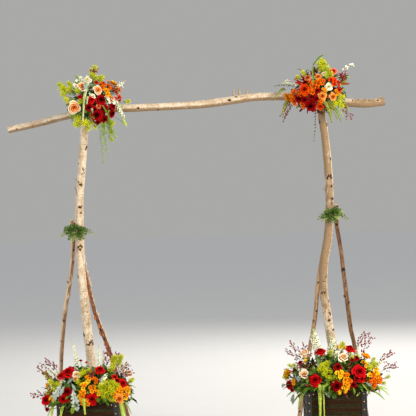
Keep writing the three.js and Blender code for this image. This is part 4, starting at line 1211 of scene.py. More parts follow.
# The four arrangements, in millimetres from the heart of each: (across, up, radius) for a bloom or a plume,
# (across, up, tip across, tip up) for a spray, a trail or a silver leaf; a white spike adds its scale and a
# tassel its radius. The mound is where the leaves grow: its middle (across, up) and its reach. Its leaves are
# (shape, length in metres, finish, how many, from and to which share of the reach).
DOMES = {
    "left_bouquet": {"heart": (-705, -60, 2255), "reach": (200, 160, 175), "mound": (32, -4, 138, 125, 132),
        "leaves": (
        ("broad", 0.042, "deep_leaf", 60, 0.4, 0.85), ("slim", 0.055, "fresh_leaf", 110, 0.5, 1.0),
        ("round", 0.028, "sage_leaf", 60, 0.6, 1.0), ("broad", 0.036, "fresh_leaf", 50, 0.6, 1.0))},
    "right_bouquet": {"heart": (810, -60, 2280), "reach": (210, 160, 180), "mound": (-14, 2, 168, 130, 136),
        "leaves": (
        ("broad", 0.040, "deep_leaf", 60, 0.4, 0.85), ("slim", 0.052, "wine_leaf", 130, 0.6, 1.02),
        ("slim", 0.052, "sage_leaf", 70, 0.6, 1.0), ("round", 0.026, "wine_leaf", 60, 0.7, 1.0),
        ("slim", 0.045, "fresh_leaf", 50, 0.7, 1.0))},
    "left_planter": {"heart": (-716, -345.6, 379), "reach": (300, 178, 235), "mound": (0, 0, 278, 160, 196),
        "leaves": (
        ("broad", 0.050, "deep_leaf", 360, 0.6, 0.97), ("slim", 0.056, "fresh_leaf", 130, 0.65, 1.0),
        ("round", 0.030, "sage_leaf", 110, 0.7, 1.0), ("broad", 0.040, "fresh_leaf", 40, 0.7, 1.0),
        ("silver", 0.060, "silver_leaf", 4, 0.8, 0.95))},
    "right_planter": {"heart": (823, -159.6, 379), "reach": (310, 178, 250), "mound": (0, 0, 288, 170, 212),
        "leaves": (
        ("broad", 0.052, "deep_leaf", 400, 0.6, 0.97), ("slim", 0.056, "fresh_leaf", 100, 0.65, 1.0),
        ("round", 0.030, "sage_leaf", 90, 0.7, 1.0), ("slim", 0.050, "wine_leaf", 90, 0.8, 1.02),
        ("silver", 0.056, "silver_leaf", 4, 0.8, 0.95))},
}
ROSE_PLACES = {
    "left_bouquet": {
        "red": {
            "crimson": [(106, 4, 34), (166, -80, 33), (78, -136, 20), (176, -36, 24), (62, -58, 22)],
            "ruffled": [(74, -92, 38), (30, -44, 26), (124, -52, 29), (118, -118, 27)],
            "bright_red": [(48, 4, 25), (118, 112, 18), (-24, 24, 15), (78, 118, 15)],
            "flame": [(196, 14, 17)],
        },
        "peach": {
            "cream_edge": [(-64, -42, 42), (88, 66, 31), (-12, 92, 31)],
            "cream": [(18, 134, 28), (56, 25, 17), (-46, 96, 16)],
            "brick": [(90, -38, 17)],
        },
    },
    "right_bouquet": {
        "red": {
            "crimson": [
                (-82, -102, 38), (-38, -8, 19), (-120, -62, 24), (-46, -60, 22), (-112, 48, 17),
                (-62, 104, 15)],
            "flame": [(-22, -108, 24)],
            "ruffled": [(-154, -50, 30), (-72, -44, 24)],
            "coral": [(70, 114, 25)],
            "bright_red": [(100, -6, 15)],
        },
        "peach": {
            "apricot": [(-9, -44, 29), (60, -50, 27), (-30, 80, 23)],
            "brick": [(-95, 77, 22)],
            "cream": [(34, 14, 26)],
            "pale_peach": [(10, 100, 16)],
        },
    },
    "left_planter": {
        "red": {
            "bright_red": [
                (-120, 189, 40), (-166, 164, 29), (76, 198, 31), (-13, 238, 10), (-148, 33, 34), (29, 30, 39),
                (214, 110, 31), (167, 151, 19)],
            "crimson": [(-48, 250, 11), (-258, -37, 15), (182, 128, 18)],
            "ruffled": [(-124, 78, 28)],
            "carnation": [(-262, 22, 33)],
        },
        "peach": {
            "pale_peach": [(-68, 176, 26), (246, 160, 30)],
            "apricot": [(192, 20, 34)],
            "peach": [(-72, 152, 18)],
        },
    },
    "right_planter": {
        "red": {
            "bright_red": [(-82, 240, 36), (-130, 76, 41)],
            "carnation": [(108, 252, 38), (162, 74, 28)],
            "open": [(151, 120, 48)],
            "ruffled": [(2, 36, 40), (-290, 40, 27)],
            "crimson": [
                (16, 152, 28), (108, 40, 24), (-214, 176, 16), (-254, 122, 14), (184, 168, 16),
                (112, 190, 15), (-273, 10, 15), (143, 197, 20), (132, 78, 20)],
        },
        "peach": {
            "bud": [(-180, 216, 34), (-195, 106, 31), (52, 200, 33)],
        },
    },
}
TEPAL_PLACES = {
    "left_bouquet": {
        "ember": [(112, 96, 26), (152, 92, 26), (166, 20, 22)],
        "flame": [(190, 60, 28), (212, 18, 26)],
        "gold": [(182, 108, 30)],
        "amber": [(142, 52, 30), (206, 80, 26), (150, 122, 20)],
    },
    "right_bouquet": {
        "amber": [(-206, -40, 34), (-226, -30, 26), (4, -8, 20), (86, -20, 20)],
        "ember": [
            (-184, -66, 30), (-74, -20, 26), (-40, 32, 30), (-72, 38, 24), (-6, 50, 24), (-132, -92, 22),
            (-186, -12, 26), (-20, -76, 20), (-150, -20, 22)],
        "flame": [(60, 46, 30), (98, 34, 20)],
    },
    "left_planter": {
        "gold": [(-25, 108, 27), (-216, 28, 24), (-44, 40, 22), (66, 70, 20), (228, 36, 22)],
        "amber": [
            (6, 150, 24), (30, 92, 28), (-30, 66, 28), (196, 72, 32), (236, 62, 30), (160, 44, 24),
            (4, 14, 22), (-250, 110, 18), (-30, 18, 20), (-188, -8, 16)],
        "ember": [(50, 140, 22)],
    },
    "right_planter": {
        "gold": [
            (20, 108, 30), (40, 262, 22), (266, 104, 32), (190, 160, 24), (50, 18, 24), (-296, 122, 24),
            (-182, 190, 16), (16, 4, 18)],
        "amber": [(60, 88, 30), (206, 196, 32), (272, 66, 36), (-290, 96, 32), (62, 42, 30), (-262, 64, 20)],
        "ember": [(238, 34, 28), (228, 84, 28), (212, 52, 24), (86, 66, 22)],
    },
}
ORANGE_ROSES = {"right_bouquet": [(-118, 4, 40)]}  # among the lilies
WHITE_SPIKES = {
    "left_bouquet": [
        (136, 8, 226, -40, 1.35), (140, 2, 206, -26, 1.2), (216, -30, 256, -132, 0.8),
        (1, 107, -44, 168, 0.8), (200, 92, 262, 128, 0.7), (57, 21, 39, 53, 0.5), (40, -35, 52, -85, 0.5)],
    "right_bouquet": [(-180, 46, -244, 44, 0.42)],
    "left_planter": [
        (-82, 205, -106, 376, 0.62), (-76, 215, -80, 290, 0.6), (64, 200, 60, 340, 0.66),
        (88, 200, 93, 312, 0.6), (90, 116, 126, 180, 1.0), (-190, 60, -268, 106, 1.0),
        (-160, 138, -247, 197, 0.9), (225, 180, 236, 225, 0.8)],
    "right_planter": [
        (-84, 232, -117, 380, 1.25), (-98, 228, -134, 345, 1.1), (22, 196, -10, 334, 1.5),
        (0, 200, -27, 285, 1.2), (-200, 126, -257, 165, 1.0), (270, 126, 322, 184, 0.7),
        (150, 215, 168, 275, 0.6)],
}
STAR_TWIGS = {"right_bouquet": [(-190, 52, -246, 58), (120, 95, 200, 164)]}
STARS = {"left_bouquet": [(-45, 125), (-20, 145), (-58, 100), (20, 150), (215, 112), (230, 90)]}
BERRY_TWIGS = {
    "left_bouquet": [(56, 150, 62, 196)],
    "right_bouquet": [(115, -85, 184, -188), (-205, -62, -255, -160), (110, 60, 150, 95)],
    "left_planter": [
        (-215, 110, -318, 215), (-255, 36, -362, 40), (108, 180, 111, 306), (140, 185, 172, 275),
        (180, 144, 243, 216), (42, 138, 29, 185), (-205, 175, -276, 244), (-215, 95, -255, 60),
        (200, 130, 250, 170)],
    "right_planter": [
        (-165, 170, -268, 292), (-200, 165, -297, 240), (146, 236, 217, 336), (185, 181, 248, 308),
        (280, 134, 368, 218), (300, 97, 390, 135), (-140, 160, -182, 270), (-150, 140, -230, 160),
        (165, 165, 175, 140)],
}
PLUME_PLACES = {
    "left_bouquet": [
        (-130, 78, 30), (-146, 100, 28), (-128, 40, 26), (-112, 8, 22), (48, 148, 28), (44, 186, 28),
        (98, 142, 24), (60, 206, 26), (70, 140, 24), (-48, -108, 26), (-8, -128, 30), (30, -134, 26),
        (-60, -134, 24), (10, -160, 24), (-92, 70, 24), (150, -132, 24), (148, -190, 20), (152, -240, 18),
        (262, -4, 18), (-40, 60, 20), (240, -140, 16), (-96, 110, 20), (-22, -6, 18), (52, -158, 20)],
    "right_bouquet": [
        (4, 158, 28), (-16, 150, 26), (24, 150, 26), (6, 178, 24), (-4, 130, 26), (28, 84, 26), (34, 120, 24),
        (50, 84, 22), (-116, 104, 22), (94, -4, 22), (60, -92, 26), (92, -84, 26), (110, -50, 24),
        (118, -102, 22), (40, -112, 22), (-30, 50, 16), (-150, 82, 18)],
    "left_planter": [
        (118, 84, 36), (94, 66, 32), (138, 66, 32), (110, 112, 30), (148, 108, 28), (80, 96, 26),
        (124, 40, 28), (96, 30, 26), (170, 90, 26), (160, 240, 30), (184, 214, 28), (140, 196, 28),
        (196, 250, 24), (-243, 140, 28), (-222, 118, 26), (-176, 106, 24), (-196, 84, 24), (-20, 178, 26),
        (-44, 168, 22), (10, 186, 20), (-56, 130, 20), (258, 112, 20), (150, 16, 20), (-232, 64, 22),
        (-262, 168, 20)],
    "right_planter": [
        (-78, 150, 27), (-56, 128, 24), (-96, 132, 22), (-46, 168, 22), (-66, 104, 21), (-30, 120, 18),
        (60, 262, 26), (30, 250, 22), (-318, 138, 24), (-340, 152, 20), (-300, 76, 22), (238, 142, 26),
        (216, 128, 24), (262, 138, 22), (336, 60, 20), (-22, 226, 22), (200, 222, 22), (250, 170, 20),
        (110, 196, 20), (-242, 150, 22), (-40, 84, 22), (150, 196, 18), (-268, 150, 20), (300, 30, 20),
        (-10, 84, 20)],
}
TASSELS = {
    "left_bouquet": {
        "pale_tassel": [(12, 50, -9, -132, 9.0), (26, 112, 14, 40, 8.0), (26, 20, 20, -26, 7.0)],
    },
    "right_bouquet": {
        "olive_tassel": [
            (0, -84, 46, -212, 10.5), (34, -96, 104, -212, 6.5), (20, -90, 80, -196, 6.0),
            (-228, -70, -258, -140, 12.0), (-250, 24, -312, -56, 6.0), (-240, 16, -282, -30, 4.5)],
    },
    "left_planter": {
        "lime_tassel": [
            (-25, 30, -13, -58, 10.5), (-212, 26, -230, -136, 10.0), (-150, -5, -174, -130, 9.5),
            (200, -22, 224, -176, 11.0)],
    },
    "right_planter": {
        "lime_tassel": [(-103, 44, -109, -206, 12.0), (-83, 44, -83, -190, 7.0)],
        "olive_tassel": [(-62, 222, -136, 138, 8.0)],
    },
}
# Long trails, bare or leafy.
TRAILS = {
    "left_bouquet": {
        "fine": [
            (128, -92, 124, -322), (115, -74, 102, -390), (-40, -90, -45, -150), (150, -120, 160, -250),
            (-60, -60, -84, -120), (136, -100, 184, -230)],
        "leaf": [(108, -34, 152, -146)],
        "blade": [(112, -60, 120, -210), (210, -40, 262, -172), (-30, 120, -70, 170), (60, 100, 92, 160)],
    },
    "right_bouquet": {
        "vine": [(-60, -120, -60, -322), (-200, 40, -300, 40), (-225, -90, -254, -190)],
        "leaf": [(-60, 132, -62, 6), (24, 60, 22, 110)],
        "pod": [(114, 30, 178, 32)],
        "curl": [(88, 44, 92, 86)],
        "flame": [
            (72, 10, 128, 2), (74, 0, 120, -20), (30, 60, 84, 30), (-122, -70, -124, -120),
            (-100, 50, -180, 84), (-110, 40, -176, 62), (-90, 60, -140, 104)],
        "blade": [(70, -92, 136, -178), (30, -70, 60, -190), (50, -96, 118, -196), (126, 78, 178, 66)],
        "fine": [(90, -90, 165, -130)],
        "dark": [(-52, 146, 24, 212)],
    },
    "left_planter": {
        "vine": [(-165, 125, -300, 242)],
        "blade": [(-110, 20, -160, -40), (-235, -20, -270, -120), (230, 0, 262, -90), (215, 10, 232, -120)],
        "fine": [(-60, 10, -95, -45)],
    },
    "right_planter": {
        "blade": [
            (-215, 26, -308, -44), (-175, 21, -227, -60), (262, 6, 350, -59), (218, -10, 318, -83),
            (187, 15, 214, -30), (-200, 10, -275, -90), (-150, 10, -190, -75), (240, 0, 340, -20),
            (-225, 0, -240, -120), (276, 40, 330, 0)],
    },
}
SILVER_PLACES = {
    "left_bouquet": [(-2, 112, 22, 60)],
    "right_bouquet": [(-62, 128, -50, 150)],
    "left_planter": [
        (-146, 124, -208, 26), (-84, 98, -66, -22), (-76, 150, -112, 124), (-130, 110, -160, 60),
        (-92, 120, -70, 90)],
    "right_planter": [
        (-80, 30, -50, -22), (-250, -1, -269, -70), (-290, 40, -326, 24), (175, 50, 214, 28),
        (-212, 70, -236, 84)],
}
ROSE_KINDS = {
    "carnation": (CARNATION, "bright_red"), "ruffled": (CARNATION, "crimson"),
    "open": (OPEN_ROSE, "bright_red"), "bud": (BUD_ROSE, "pale_peach"),
}
LEAF_SHAPES = {"broad": BROAD_LEAF, "slim": SLIM_LEAF, "round": ROUND_LEAF, "silver": SILVER_LEAF}
OPEN_SHARE = 0.80  # of a white spike; above it the blossoms are still buds
HEAD_SIT = 0.93  # how far out the blooms sit, as a share of a dome's reach
PLUME_SIT = 0.86
BACK_REACH = 0.72  # the back's share of the front's reach
FRONT_MOST = -0.566  # no leaf comes further forward, in metres
RIM = np.array([0.196, 0.158])  # from a planter's middle to its crate's rim, in metres
LEAF_SHARES = np.array([[0.35], [0.7], [1.0]])  # where along a leaf it is tested against the blooms


def each(places):
    """Every place of a table, with the name that it stands under last."""
    return [(*place, label) for label, group in places.items() for place in group]


def seat(dome, across, up, back=False, share=HEAD_SIT):
    """Where a bloom sits on a dome and which way it faces; the back repeats the front."""
    heart, (rx, ry, rz) = np.array(dome["heart"], float), dome["reach"]
    rise = sqrt(max(0.0, 1 - (across / rx) ** 2 - (up / rz) ** 2))
    y = ry * rise * share * (BACK_REACH if back else -1)
    outward = unit([across / rx ** 2, (y / share) / ry ** 2 - (0 if back else 0.0012), up / rz ** 2 + 0.0004])
    return (heart + np.array([across, y, up])) * MM, outward


def seats(dome, across, up, radius):
    """The seat of a bloom; the larger blooms of the upper front are repeated behind."""
    repeats = radius > 21 and up > (25 if dome["planter"] else 55) and abs(across) > 45
    return [(*seat(dome, across, up, back), back) for back in (False, True)[:1 + repeats]]


def inward(dome, spot, share=0.72):
    """A point inside the arrangement, this share of the way from a spot to its middle."""
    return dome["middle"] * share + spot * (1 - share)


def head_stem(bench, spot, outward, radius, dome, draw):
    """A green calyx and a stem that runs from the head into the foliage."""
    foot = spot - outward * radius * 0.62
    sepals = [aim(outward + spoke(outward, k * 2 * pi / 5 + pi / 2) * 0.9, outward) for k in range(5)]
    scatter(bench, SEPAL, [foot] * 5, sepals, radius * 0.8, draw(), "fresh_leaf")
    stem(bench, foot, inward(dome, spot), -0.006, 5, 2.2, 6, tone=draw())


def add_roses(name, dome, kind):
    bench = Bench()
    draw = Draw(f"{name} {kind}")
    for across, up, radius, petal in each(ROSE_PLACES[name][kind]):
        for spot, outward, back in seats(dome, across, up, radius):
            size = radius * MM * (0.9 if back else 1.0) * 1.04
            form, finish = ROSE_KINDS.get(petal) or (draw.choice(ROSES), petal)
            if petal == "bud":
                size, outward = size * 1.35, unit(outward * [0.6, 1, 1] + UP * 0.1)
            elif petal == "cream_edge":
                outward = unit(outward + [0.3, 0, -0.12])
            tilt = unit(outward + shaken(draw, 0.2, (-0.25, 0.05), (-0.12, 0.25)))
            scatter(bench, form, [spot], [aim(tilt, UP, draw(0, 6))], size, draw(0.25, 0.75), finish)
            head_stem(bench, spot, tilt, size, dome, draw)
    bench.piece(f"{name}_{kind}_rose_heads", f"{kind}_petals", [f"{name}_{kind}_roses"])


def lily_cluster(bench, dome, spot, outward, radius, petal, draw):
    """Small lilies round one spot, each on a stalk of its own; a few have another colour."""
    heads = max(3, round(radius / 7))
    others = ["amber", "gold", "ember"] if dome["planter"] else ["amber", "ember"]
    for number in range(heads):
        turn = number * GOLDEN + draw(0.3)
        off = spoke(outward, turn) * sqrt((number + 0.4) / heads)
        head = spot + (off * radius * 0.72 + outward * draw(-0.15, 0.3) * radius) * MM
        facing = unit(outward + off * 0.85 + UP * 0.15)
        size = radius * MM * draw(0.60, 0.80)
        finish = petal if draw() < 0.8 else draw.choice(others)
        scatter(bench, draw.choice(TEPALS), [head], [aim(facing, UP, draw(0, 6))], size, draw(), finish)
        stem(bench, head - facing * size * 0.6, spot - outward * radius * 1.1 * MM, -0.003, 3)
    stem(bench, spot - outward * radius * 0.9 * MM, inward(dome, spot), -0.005, 4, 2.2, 6)


def add_tepals(name, dome):
    """Clusters of small orange and yellow lilies, and the bright orange rose."""
    bench = Bench()
    draw = Draw(f"{name} tepals")
    for across, up, radius, petal in each(TEPAL_PLACES[name]):
        for spot, outward, _ in seats(dome, across, up, radius):
            lily_cluster(bench, dome, spot, outward, radius, petal, draw)
    for across, up, radius in ORANGE_ROSES.get(name, []):
        spot, outward = seat(dome, across, up)
        scatter(bench, ROSES[1], [spot], [aim(outward, UP, 2.0)], radius * MM, 0.4, "flame")
        head_stem(bench, spot, outward, radius * MM, dome, draw)
    bench.piece(f"{name}_lily_clusters", "orange_petals", [f"{name}_lilies"])


def spray_ends(dome, ends, forward=0.0):
    """Foot and tip of a spray; one that starts high in a planter stands behind the blooms."""
    root, outward = seat(dome, *ends[:2])
    tip, _ = seat(dome, *ends[2:4])
    behind = np.array([0, 0.06 if dome["planter"] and ends[1] > 150 else 0, 0])
    return root + behind, tip + behind * 1.4 - [0, forward, 0], outward


def add_white_spike(bench, root, tip, scale, draw, droop):
    """A spike of white blossoms, open below and in green bud at its tip."""
    long = np.linalg.norm(tip - root)
    path = bent(root, tip, 0.12 * long if droop else 0.02 * long, 12, [draw(0.006), 0, 0])
    tube(bench, path, np.linspace(2.0, 0.9, 13) * MM * min(1, scale), "stem", 6)
    total = int(long / (0.0043 * max(scale, 0.85)))
    for number in range(total):
        share = 0.02 + 0.98 * number / total
        spot, ahead = on_path(path, share)
        out = spoke(ahead, number * GOLDEN)
        if share < OPEN_SHARE:
            size = 0.0150 * scale * (1.1 - 0.5 * share)
            facing = aim(out + ahead * 0.35, ahead, draw(0.4))
            scatter(bench, SNAP, [spot + out * size * 0.75], [facing], size, draw(), "white")
        else:
            size = 0.0044 * scale * (1.7 - share)
            scatter(bench, BUD, [spot + out * size * 1.1], [aim(out * 0.6 + ahead)], size, draw(), "bud")


def add_berry_twig(bench, root, tip, draw):
    """A branching brown twig with glossy berries at its ends."""
    long = np.linalg.norm(tip - root)
    path = bent(root, tip, 0.10 * long, 8, [draw(0.01), draw(-0.01, 0), 0])
    tube(bench, path, np.linspace(1.6, 0.8, 9) * MM, "twig", 5)
    ends = [path[-1]]
    for number in range(13):
        a = 2 + int(number * 6 / 13)
        ahead = unit(path[a + 1] - path[a])
        out = spoke(ahead, number * GOLDEN)
        end = path[a] + (out * 0.8 + ahead * 0.9) * draw(0.016, 0.034)
        stem(bench, path[a], end, 0.003, 3, 0.7, 4, "twig")
        ends.append(end)
        ends.append(path[a] * 0.45 + end * 0.55 + out * 0.004)
    frames = [aim(shaken(draw, 1, 1, (0, 1))) for _ in ends]
    sizes = [draw(3.4, 5.2) * MM for _ in ends]
    scatter(bench, BERRY, ends, frames, sizes, [draw() for _ in ends], "berry")


def add_sprigs(name, dome):
    bench = Bench()
    draw = Draw(f"{name} sprigs")
    for *ends, scale in WHITE_SPIKES[name]:
        root, tip, outward = spray_ends(dome, ends, 0.012 if dome["planter"] else 0.03)
        add_white_spike(bench, root - outward * 0.02, tip, scale, draw, ends[3] < ends[1])
    for ends in BERRY_TWIGS[name]:
        root, tip, outward = spray_ends(dome, ends, 0.01)
        add_berry_twig(bench, root - outward * 0.02, tip, draw)
    for ends in STAR_TWIGS.get(name, []):
        root, tip, _ = spray_ends(dome, ends)
        path = bent(root, tip, 0.012, 10)
        tube(bench, path, np.linspace(1.5, 0.7, 11) * MM, "twig", 5)
        spots = [path[k] + shaken(draw, 1, (-1, 0.2), 1) * 0.010 for k in range(3, 11) for _ in range(2)]
        frames = [aim([draw(0.6), -1, draw(-0.2, 0.8)]) for _ in spots]
        sizes = [draw(0.006, 0.008) for _ in spots]
        scatter(bench, STAR, spots, frames, sizes, [draw() for _ in spots], "white")
    for across, up in STARS.get(name, []):
        spot, outward = seat(dome, across, up)
        scatter(bench, STAR, [spot + outward * 0.008], [aim(outward)], 0.014, draw(), "white")
        stem(bench, spot, inward(dome, spot, 0.6), 0, 3)
    bench.piece(f"{name}_blossom_sprays", "sprig_blossom", [f"{name}_sprigs"])


def add_tassel(bench, root, tip, radius, finish, draw):
    """A hanging tassel: hundreds of tiny beads set close round a drooping cord."""
    share = np.linspace(0, 1, 28)[:, None]
    lip = root + np.array([(tip[0] - root[0]) * 0.25, -0.020, 0.010])
    bend = lip * 0.9 + np.array([tip[0], tip[1], root[2]]) * 0.1
    path = (1 - share) ** 2 * root + 2 * share * (1 - share) * bend + share ** 2 * tip
    tube(bench, path, radius * 0.45 * MM, finish, 5, 0.2)
    total = int(np.linalg.norm(tip - root) / 0.0017) * 2
    beads = []
    for number in range(total):
        centre, ahead = on_path(path, (number + 0.5) / total)
        along = number / total
        swell = (0.55 + 0.5 * sin(pi * min(1, along * 1.2 + 0.1)) ** 0.6) * (1 - 0.45 * along ** 3)
        spot = centre + spoke(ahead, number * GOLDEN) * radius * MM * swell * draw(0.8, 1.12) * 0.72
        beads.append((spot, np.eye(3), radius * MM * draw(0.30, 0.46), draw(0.15, 1.0)))
    scatter(bench, BEAD, *zip(*beads), finish)


def add_blade(bench, root, tip, wide, finish, draw, lift, face=None):
    """A long narrow leaf that arches from root to tip."""
    rows = 12
    path = bent(root, tip, lift, rows, [0, -0.012, 0])
    face = np.array([draw(0.4), -1.0, 0.5]) if face is None else face
    share = np.linspace(0, 1, rows + 1)
    half = wide * np.sin(np.clip(0.12 + share * 0.88, 0, 1) * pi) ** 0.6 * 0.5 + 0.0003
    ahead = np.gradient(path, axis=0)
    points, place = [], []
    for k in range(rows + 1):
        across = unit(np.cross(ahead[k], face))
        top = unit(np.cross(across, ahead[k]))
        for u in (-1, -0.5, 0, 0.5, 1):
            points.append(path[k] + across * u * half[k] + top * abs(u) * half[k] * 0.35)
            place.append((u, share[k], 0))
    bench.add(points, grid_faces(rows + 1, 5), finish, place, draw(0.2, 0.9))


def add_trail(bench, dome, ends, what, draw):
    root, tip, outward = spray_ends(dome, ends, 0.012)
    inside = root - outward * 0.04
    if what == "blade":
        add_blade(bench, inside, tip, draw(0.009, 0.014), "grass_blade", draw, 0.02)
    elif what in ("leaf", "dark"):
        root, tip = root + outward * 0.022, tip + outward * 0.022
        stem(bench, inside, root, 0, 4)
        add_blade(bench, root, tip, 0.011, "fresh_leaf" if what == "leaf" else "deep_leaf", draw, 0.01)
    elif what == "pod":
        stem(bench, inside, root, 0, 4)
        radii = 0.0006 + 0.0078 * np.sin(pi * np.linspace(0, 1, 10) ** 0.8) ** 0.9
        tube(bench, bent(root, tip, 0.002, 9), radii, "rust_pod", 8)
    elif what == "curl":
        turn = np.linspace(-1.9, 1.7, 16)[:, None]
        hook = np.concatenate([np.cos(turn) * 0.024, turn * 0.004, np.sin(turn) * 0.030], axis=1)
        path = (root + tip) / 2 + [0.008, -0.012, 0] + hook
        tube(bench, path, 0.0008 + 0.0042 * np.sin(np.linspace(0.15, 3.0, 16)), "bright_red", 6)
        stem(bench, inside, path[0], 0, 4)
    elif what == "flame":
        add_blade(bench, inside, tip, 0.014, draw.choice(["flame", "bright_red"]), draw, -0.012)
    elif what == "vine":
        path = bent(inside, tip, 0.01, 12, [0.006, -0.008, 0])
        tube(bench, path, np.linspace(1.3, 0.6, 13) * MM, "twig", 5)
        spots = [path[k] + shaken(draw, 4, (-4, 2), 3) * MM for k in range(3, 13) for _ in range(2)]
        frames = [aim([draw(1), -0.3, draw(1)]) for _ in spots]
        scatter(bench, BUD, spots, frames, [draw(2.0, 4.2) * MM for _ in spots], 0.2, "twig")
        leafy_sprig(bench, path, SLIM_LEAF, 0.016, "sage_leaf", draw, 5, 0.6, "twig")
    else:
        path = bent(inside, tip, 0.018, 14, [draw(0.008), -0.012, 0])
        leafy_sprig(bench, path, SLIM_LEAF, 0.026, "fresh_leaf", draw, 20, spread=0.7)


def bloom_discs(name, dome):
    """Middle, facing and radius of every bloom of an arrangement, front and back."""
    discs = []
    for table in (*ROSE_PLACES[name].values(), TEPAL_PLACES[name]):
        for across, up, radius, _ in each(table):
            discs += [(spot, outward, radius * MM) for spot, outward, _ in seats(dome, across, up, radius)]
    return [np.array(column) for column in zip(*discs)]


def hides_bloom(discs, points, share=0.85):
    """Whether any of the points lies over a bloom's face, or too far out in front."""
    middles, facings, radii = discs
    points = np.reshape(points, (-1, 1, 3))
    rel = points - middles
    height = np.sum(rel * facings, axis=2)
    beside = np.linalg.norm(rel - facings * height[:, :, None], axis=2)
    return np.any((beside < radii * share) & (height > -0.35 * radii)) or points[:, 0, 1].min() < FRONT_MOST


def mound(dome):
    """Middle and reach of the leafy mound, in millimetres."""
    across, up, *reach = dome["mound"]
    return np.array(dome["heart"], float) + [across, 0, up], np.array(reach, float)


def mound_spots(dome, total, draw, low, high):
    """Places spread over the leafy mound, each with its outward direction."""
    spots = []
    middle, reach = mound(dome)
    for number in range(total):
        z = draw(-0.06, 1.0) if dome["planter"] else draw(1)
        turn = number * GOLDEN + draw(0.3)
        ring = sqrt(max(0, 1 - z * z))
        direction = np.array([ring * cos(turn), ring * sin(turn), z])
        spot = middle + direction * reach * draw(low, high) * [1, BACK_REACH if direction[1] > 0 else 1, 1]
        spots.append((spot * MM, unit(direction / reach)))
    return spots


def clear_of_poles(spot, margin):
    away = [np.min(np.linalg.norm(pole.points - spot, axis=1) - pole.radii) for pole in POLE.values()]
    return min(away) > margin


def add_moss(bench, dome):
    """A lumpy mossy mound in the heart of an arrangement."""
    middle, reach = (part * MM for part in mound(dome))
    polar, turn = np.meshgrid(np.linspace(0.02, pi - 0.02, 26), whole_turn(40), indexing="ij")
    direction = np.stack([np.sin(polar) * np.cos(turn), np.sin(polar) * np.sin(turn), np.cos(polar)], axis=2)
    lumps = 1 + uneven(direction, 5.0) * 0.16 + uneven(direction, 14.0) * 0.10
    points = middle + direction * reach * (0.66 if dome["planter"] else 0.58) * lumps[:, :, None]
    if dome["planter"]:
        points[:, :, 2] = np.maximum(points[:, :, 2], middle[2] - 0.004)
    bench.add(points, grid_faces(*turn.shape, True), "moss", points)


def add_mound_leaves(bench, dome, discs, draw):
    """Leaves all over the mound, apart from those that would hide a bloom or meet a pole."""
    for shape, size, finish, total, low, high in dome["leaves"]:
        leaves = []
        for spot, outward in mound_spots(dome, total, draw, low, high):
            way = unit(outward + shaken(draw, 0.9, 0.9, (-0.7, 0.9)))
            long, spin, tone = size * draw(0.75, 1.3), draw(0.6), draw()
            if clear_of_poles(spot, size * 0.3) and not hides_bloom(discs, spot + way * long * LEAF_SHARES):
                leaves.append((spot, aim(way, outward + UP * 0.6, spin), long, tone))
        scatter(bench, LEAF_SHAPES[shape], *zip(*leaves), finish)


def add_plumes(bench, dome, discs, place, back, draw):
    """A tuft of feathery plumes on a forked stem."""
    across, up, radius = place
    spot, outward = seat(dome, across, up, back, PLUME_SIT)
    fork = spot - outward * radius * MM * 1.4
    stem(bench, inward(dome, spot, 0.55), fork, 0.004, 3, 1.4, 4, tone=0.7)
    for _ in range(7):
        lean = shaken(draw, 0.8, (-0.5, 0.3), (-0.35, 0.75)) + np.array([across, 0, up]) * 0.0026
        way = unit(outward * 0.8 + lean)
        size = radius * MM * draw(1.7, 2.5)
        start = spot - way * size * 0.45
        spin, tone = draw(0, 6), draw(0.2, 0.9)
        if hides_bloom(discs, start + way * size * LEAF_SHARES, 0.6):
            continue
        scatter(bench, draw.choice(PLUMES), [start], [aim(way, UP, spin)], size, tone, "plume")
        stalk = [fork, start, start + way * size * 0.5, start + way * size * 0.98]
        tube(bench, stalk, np.array([1.0, 0.8, 0.6, 0.3]) * MM, "stem", 3, 0.8)


def add_greens(name, dome):
    bench, draw, discs = Bench(), Draw(f"{name} greens"), bloom_discs(name, dome)
    add_moss(bench, dome)
    add_mound_leaves(bench, dome, discs, draw)
    for number, place in enumerate(PLUME_PLACES[name]):
        add_plumes(bench, dome, discs, place, False, draw)
        if number % 3 == 0 and (place[1] > 40 or not dome["planter"]):
            add_plumes(bench, dome, discs, place, True, draw)
    for *ends, radius, finish in each(TASSELS[name]):
        root, tip, outward = spray_ends(dome, ends, 0.02)
        tip[1] = min(tip[1], root[1] - 0.03)
        add_tassel(bench, root - outward * 0.01, tip, radius, finish, draw)
    for *ends, what in each(TRAILS[name]):
        add_trail(bench, dome, ends, what, draw)
    for ends in SILVER_PLACES[name]:
        root, tip, outward = spray_ends(dome, ends, 0.006)
        start, size = root + outward * 0.020, max(0.045, np.linalg.norm(tip - root) * 1.1)
        scatter(bench, SILVER_LEAF, [start], [aim(tip - root, outward)], size, draw(), "silver_leaf")
        stem(bench, inward(dome, root, 0.4), start, 0.004, 4, 1.3)
    if dome["planter"]:
        add_rim_leaves(bench, dome, discs, draw)
    bench.piece(f"{name}_foliage", "foliage", [f"{name}_greens"])


def rim_way(turn):
    """A level direction, and the step along it from a planter's middle to its crate's rim."""
    out = np.array([cos(turn), sin(turn), 0])
    return out, out * min(RIM / np.maximum(abs(out[:2]), 1e-3))


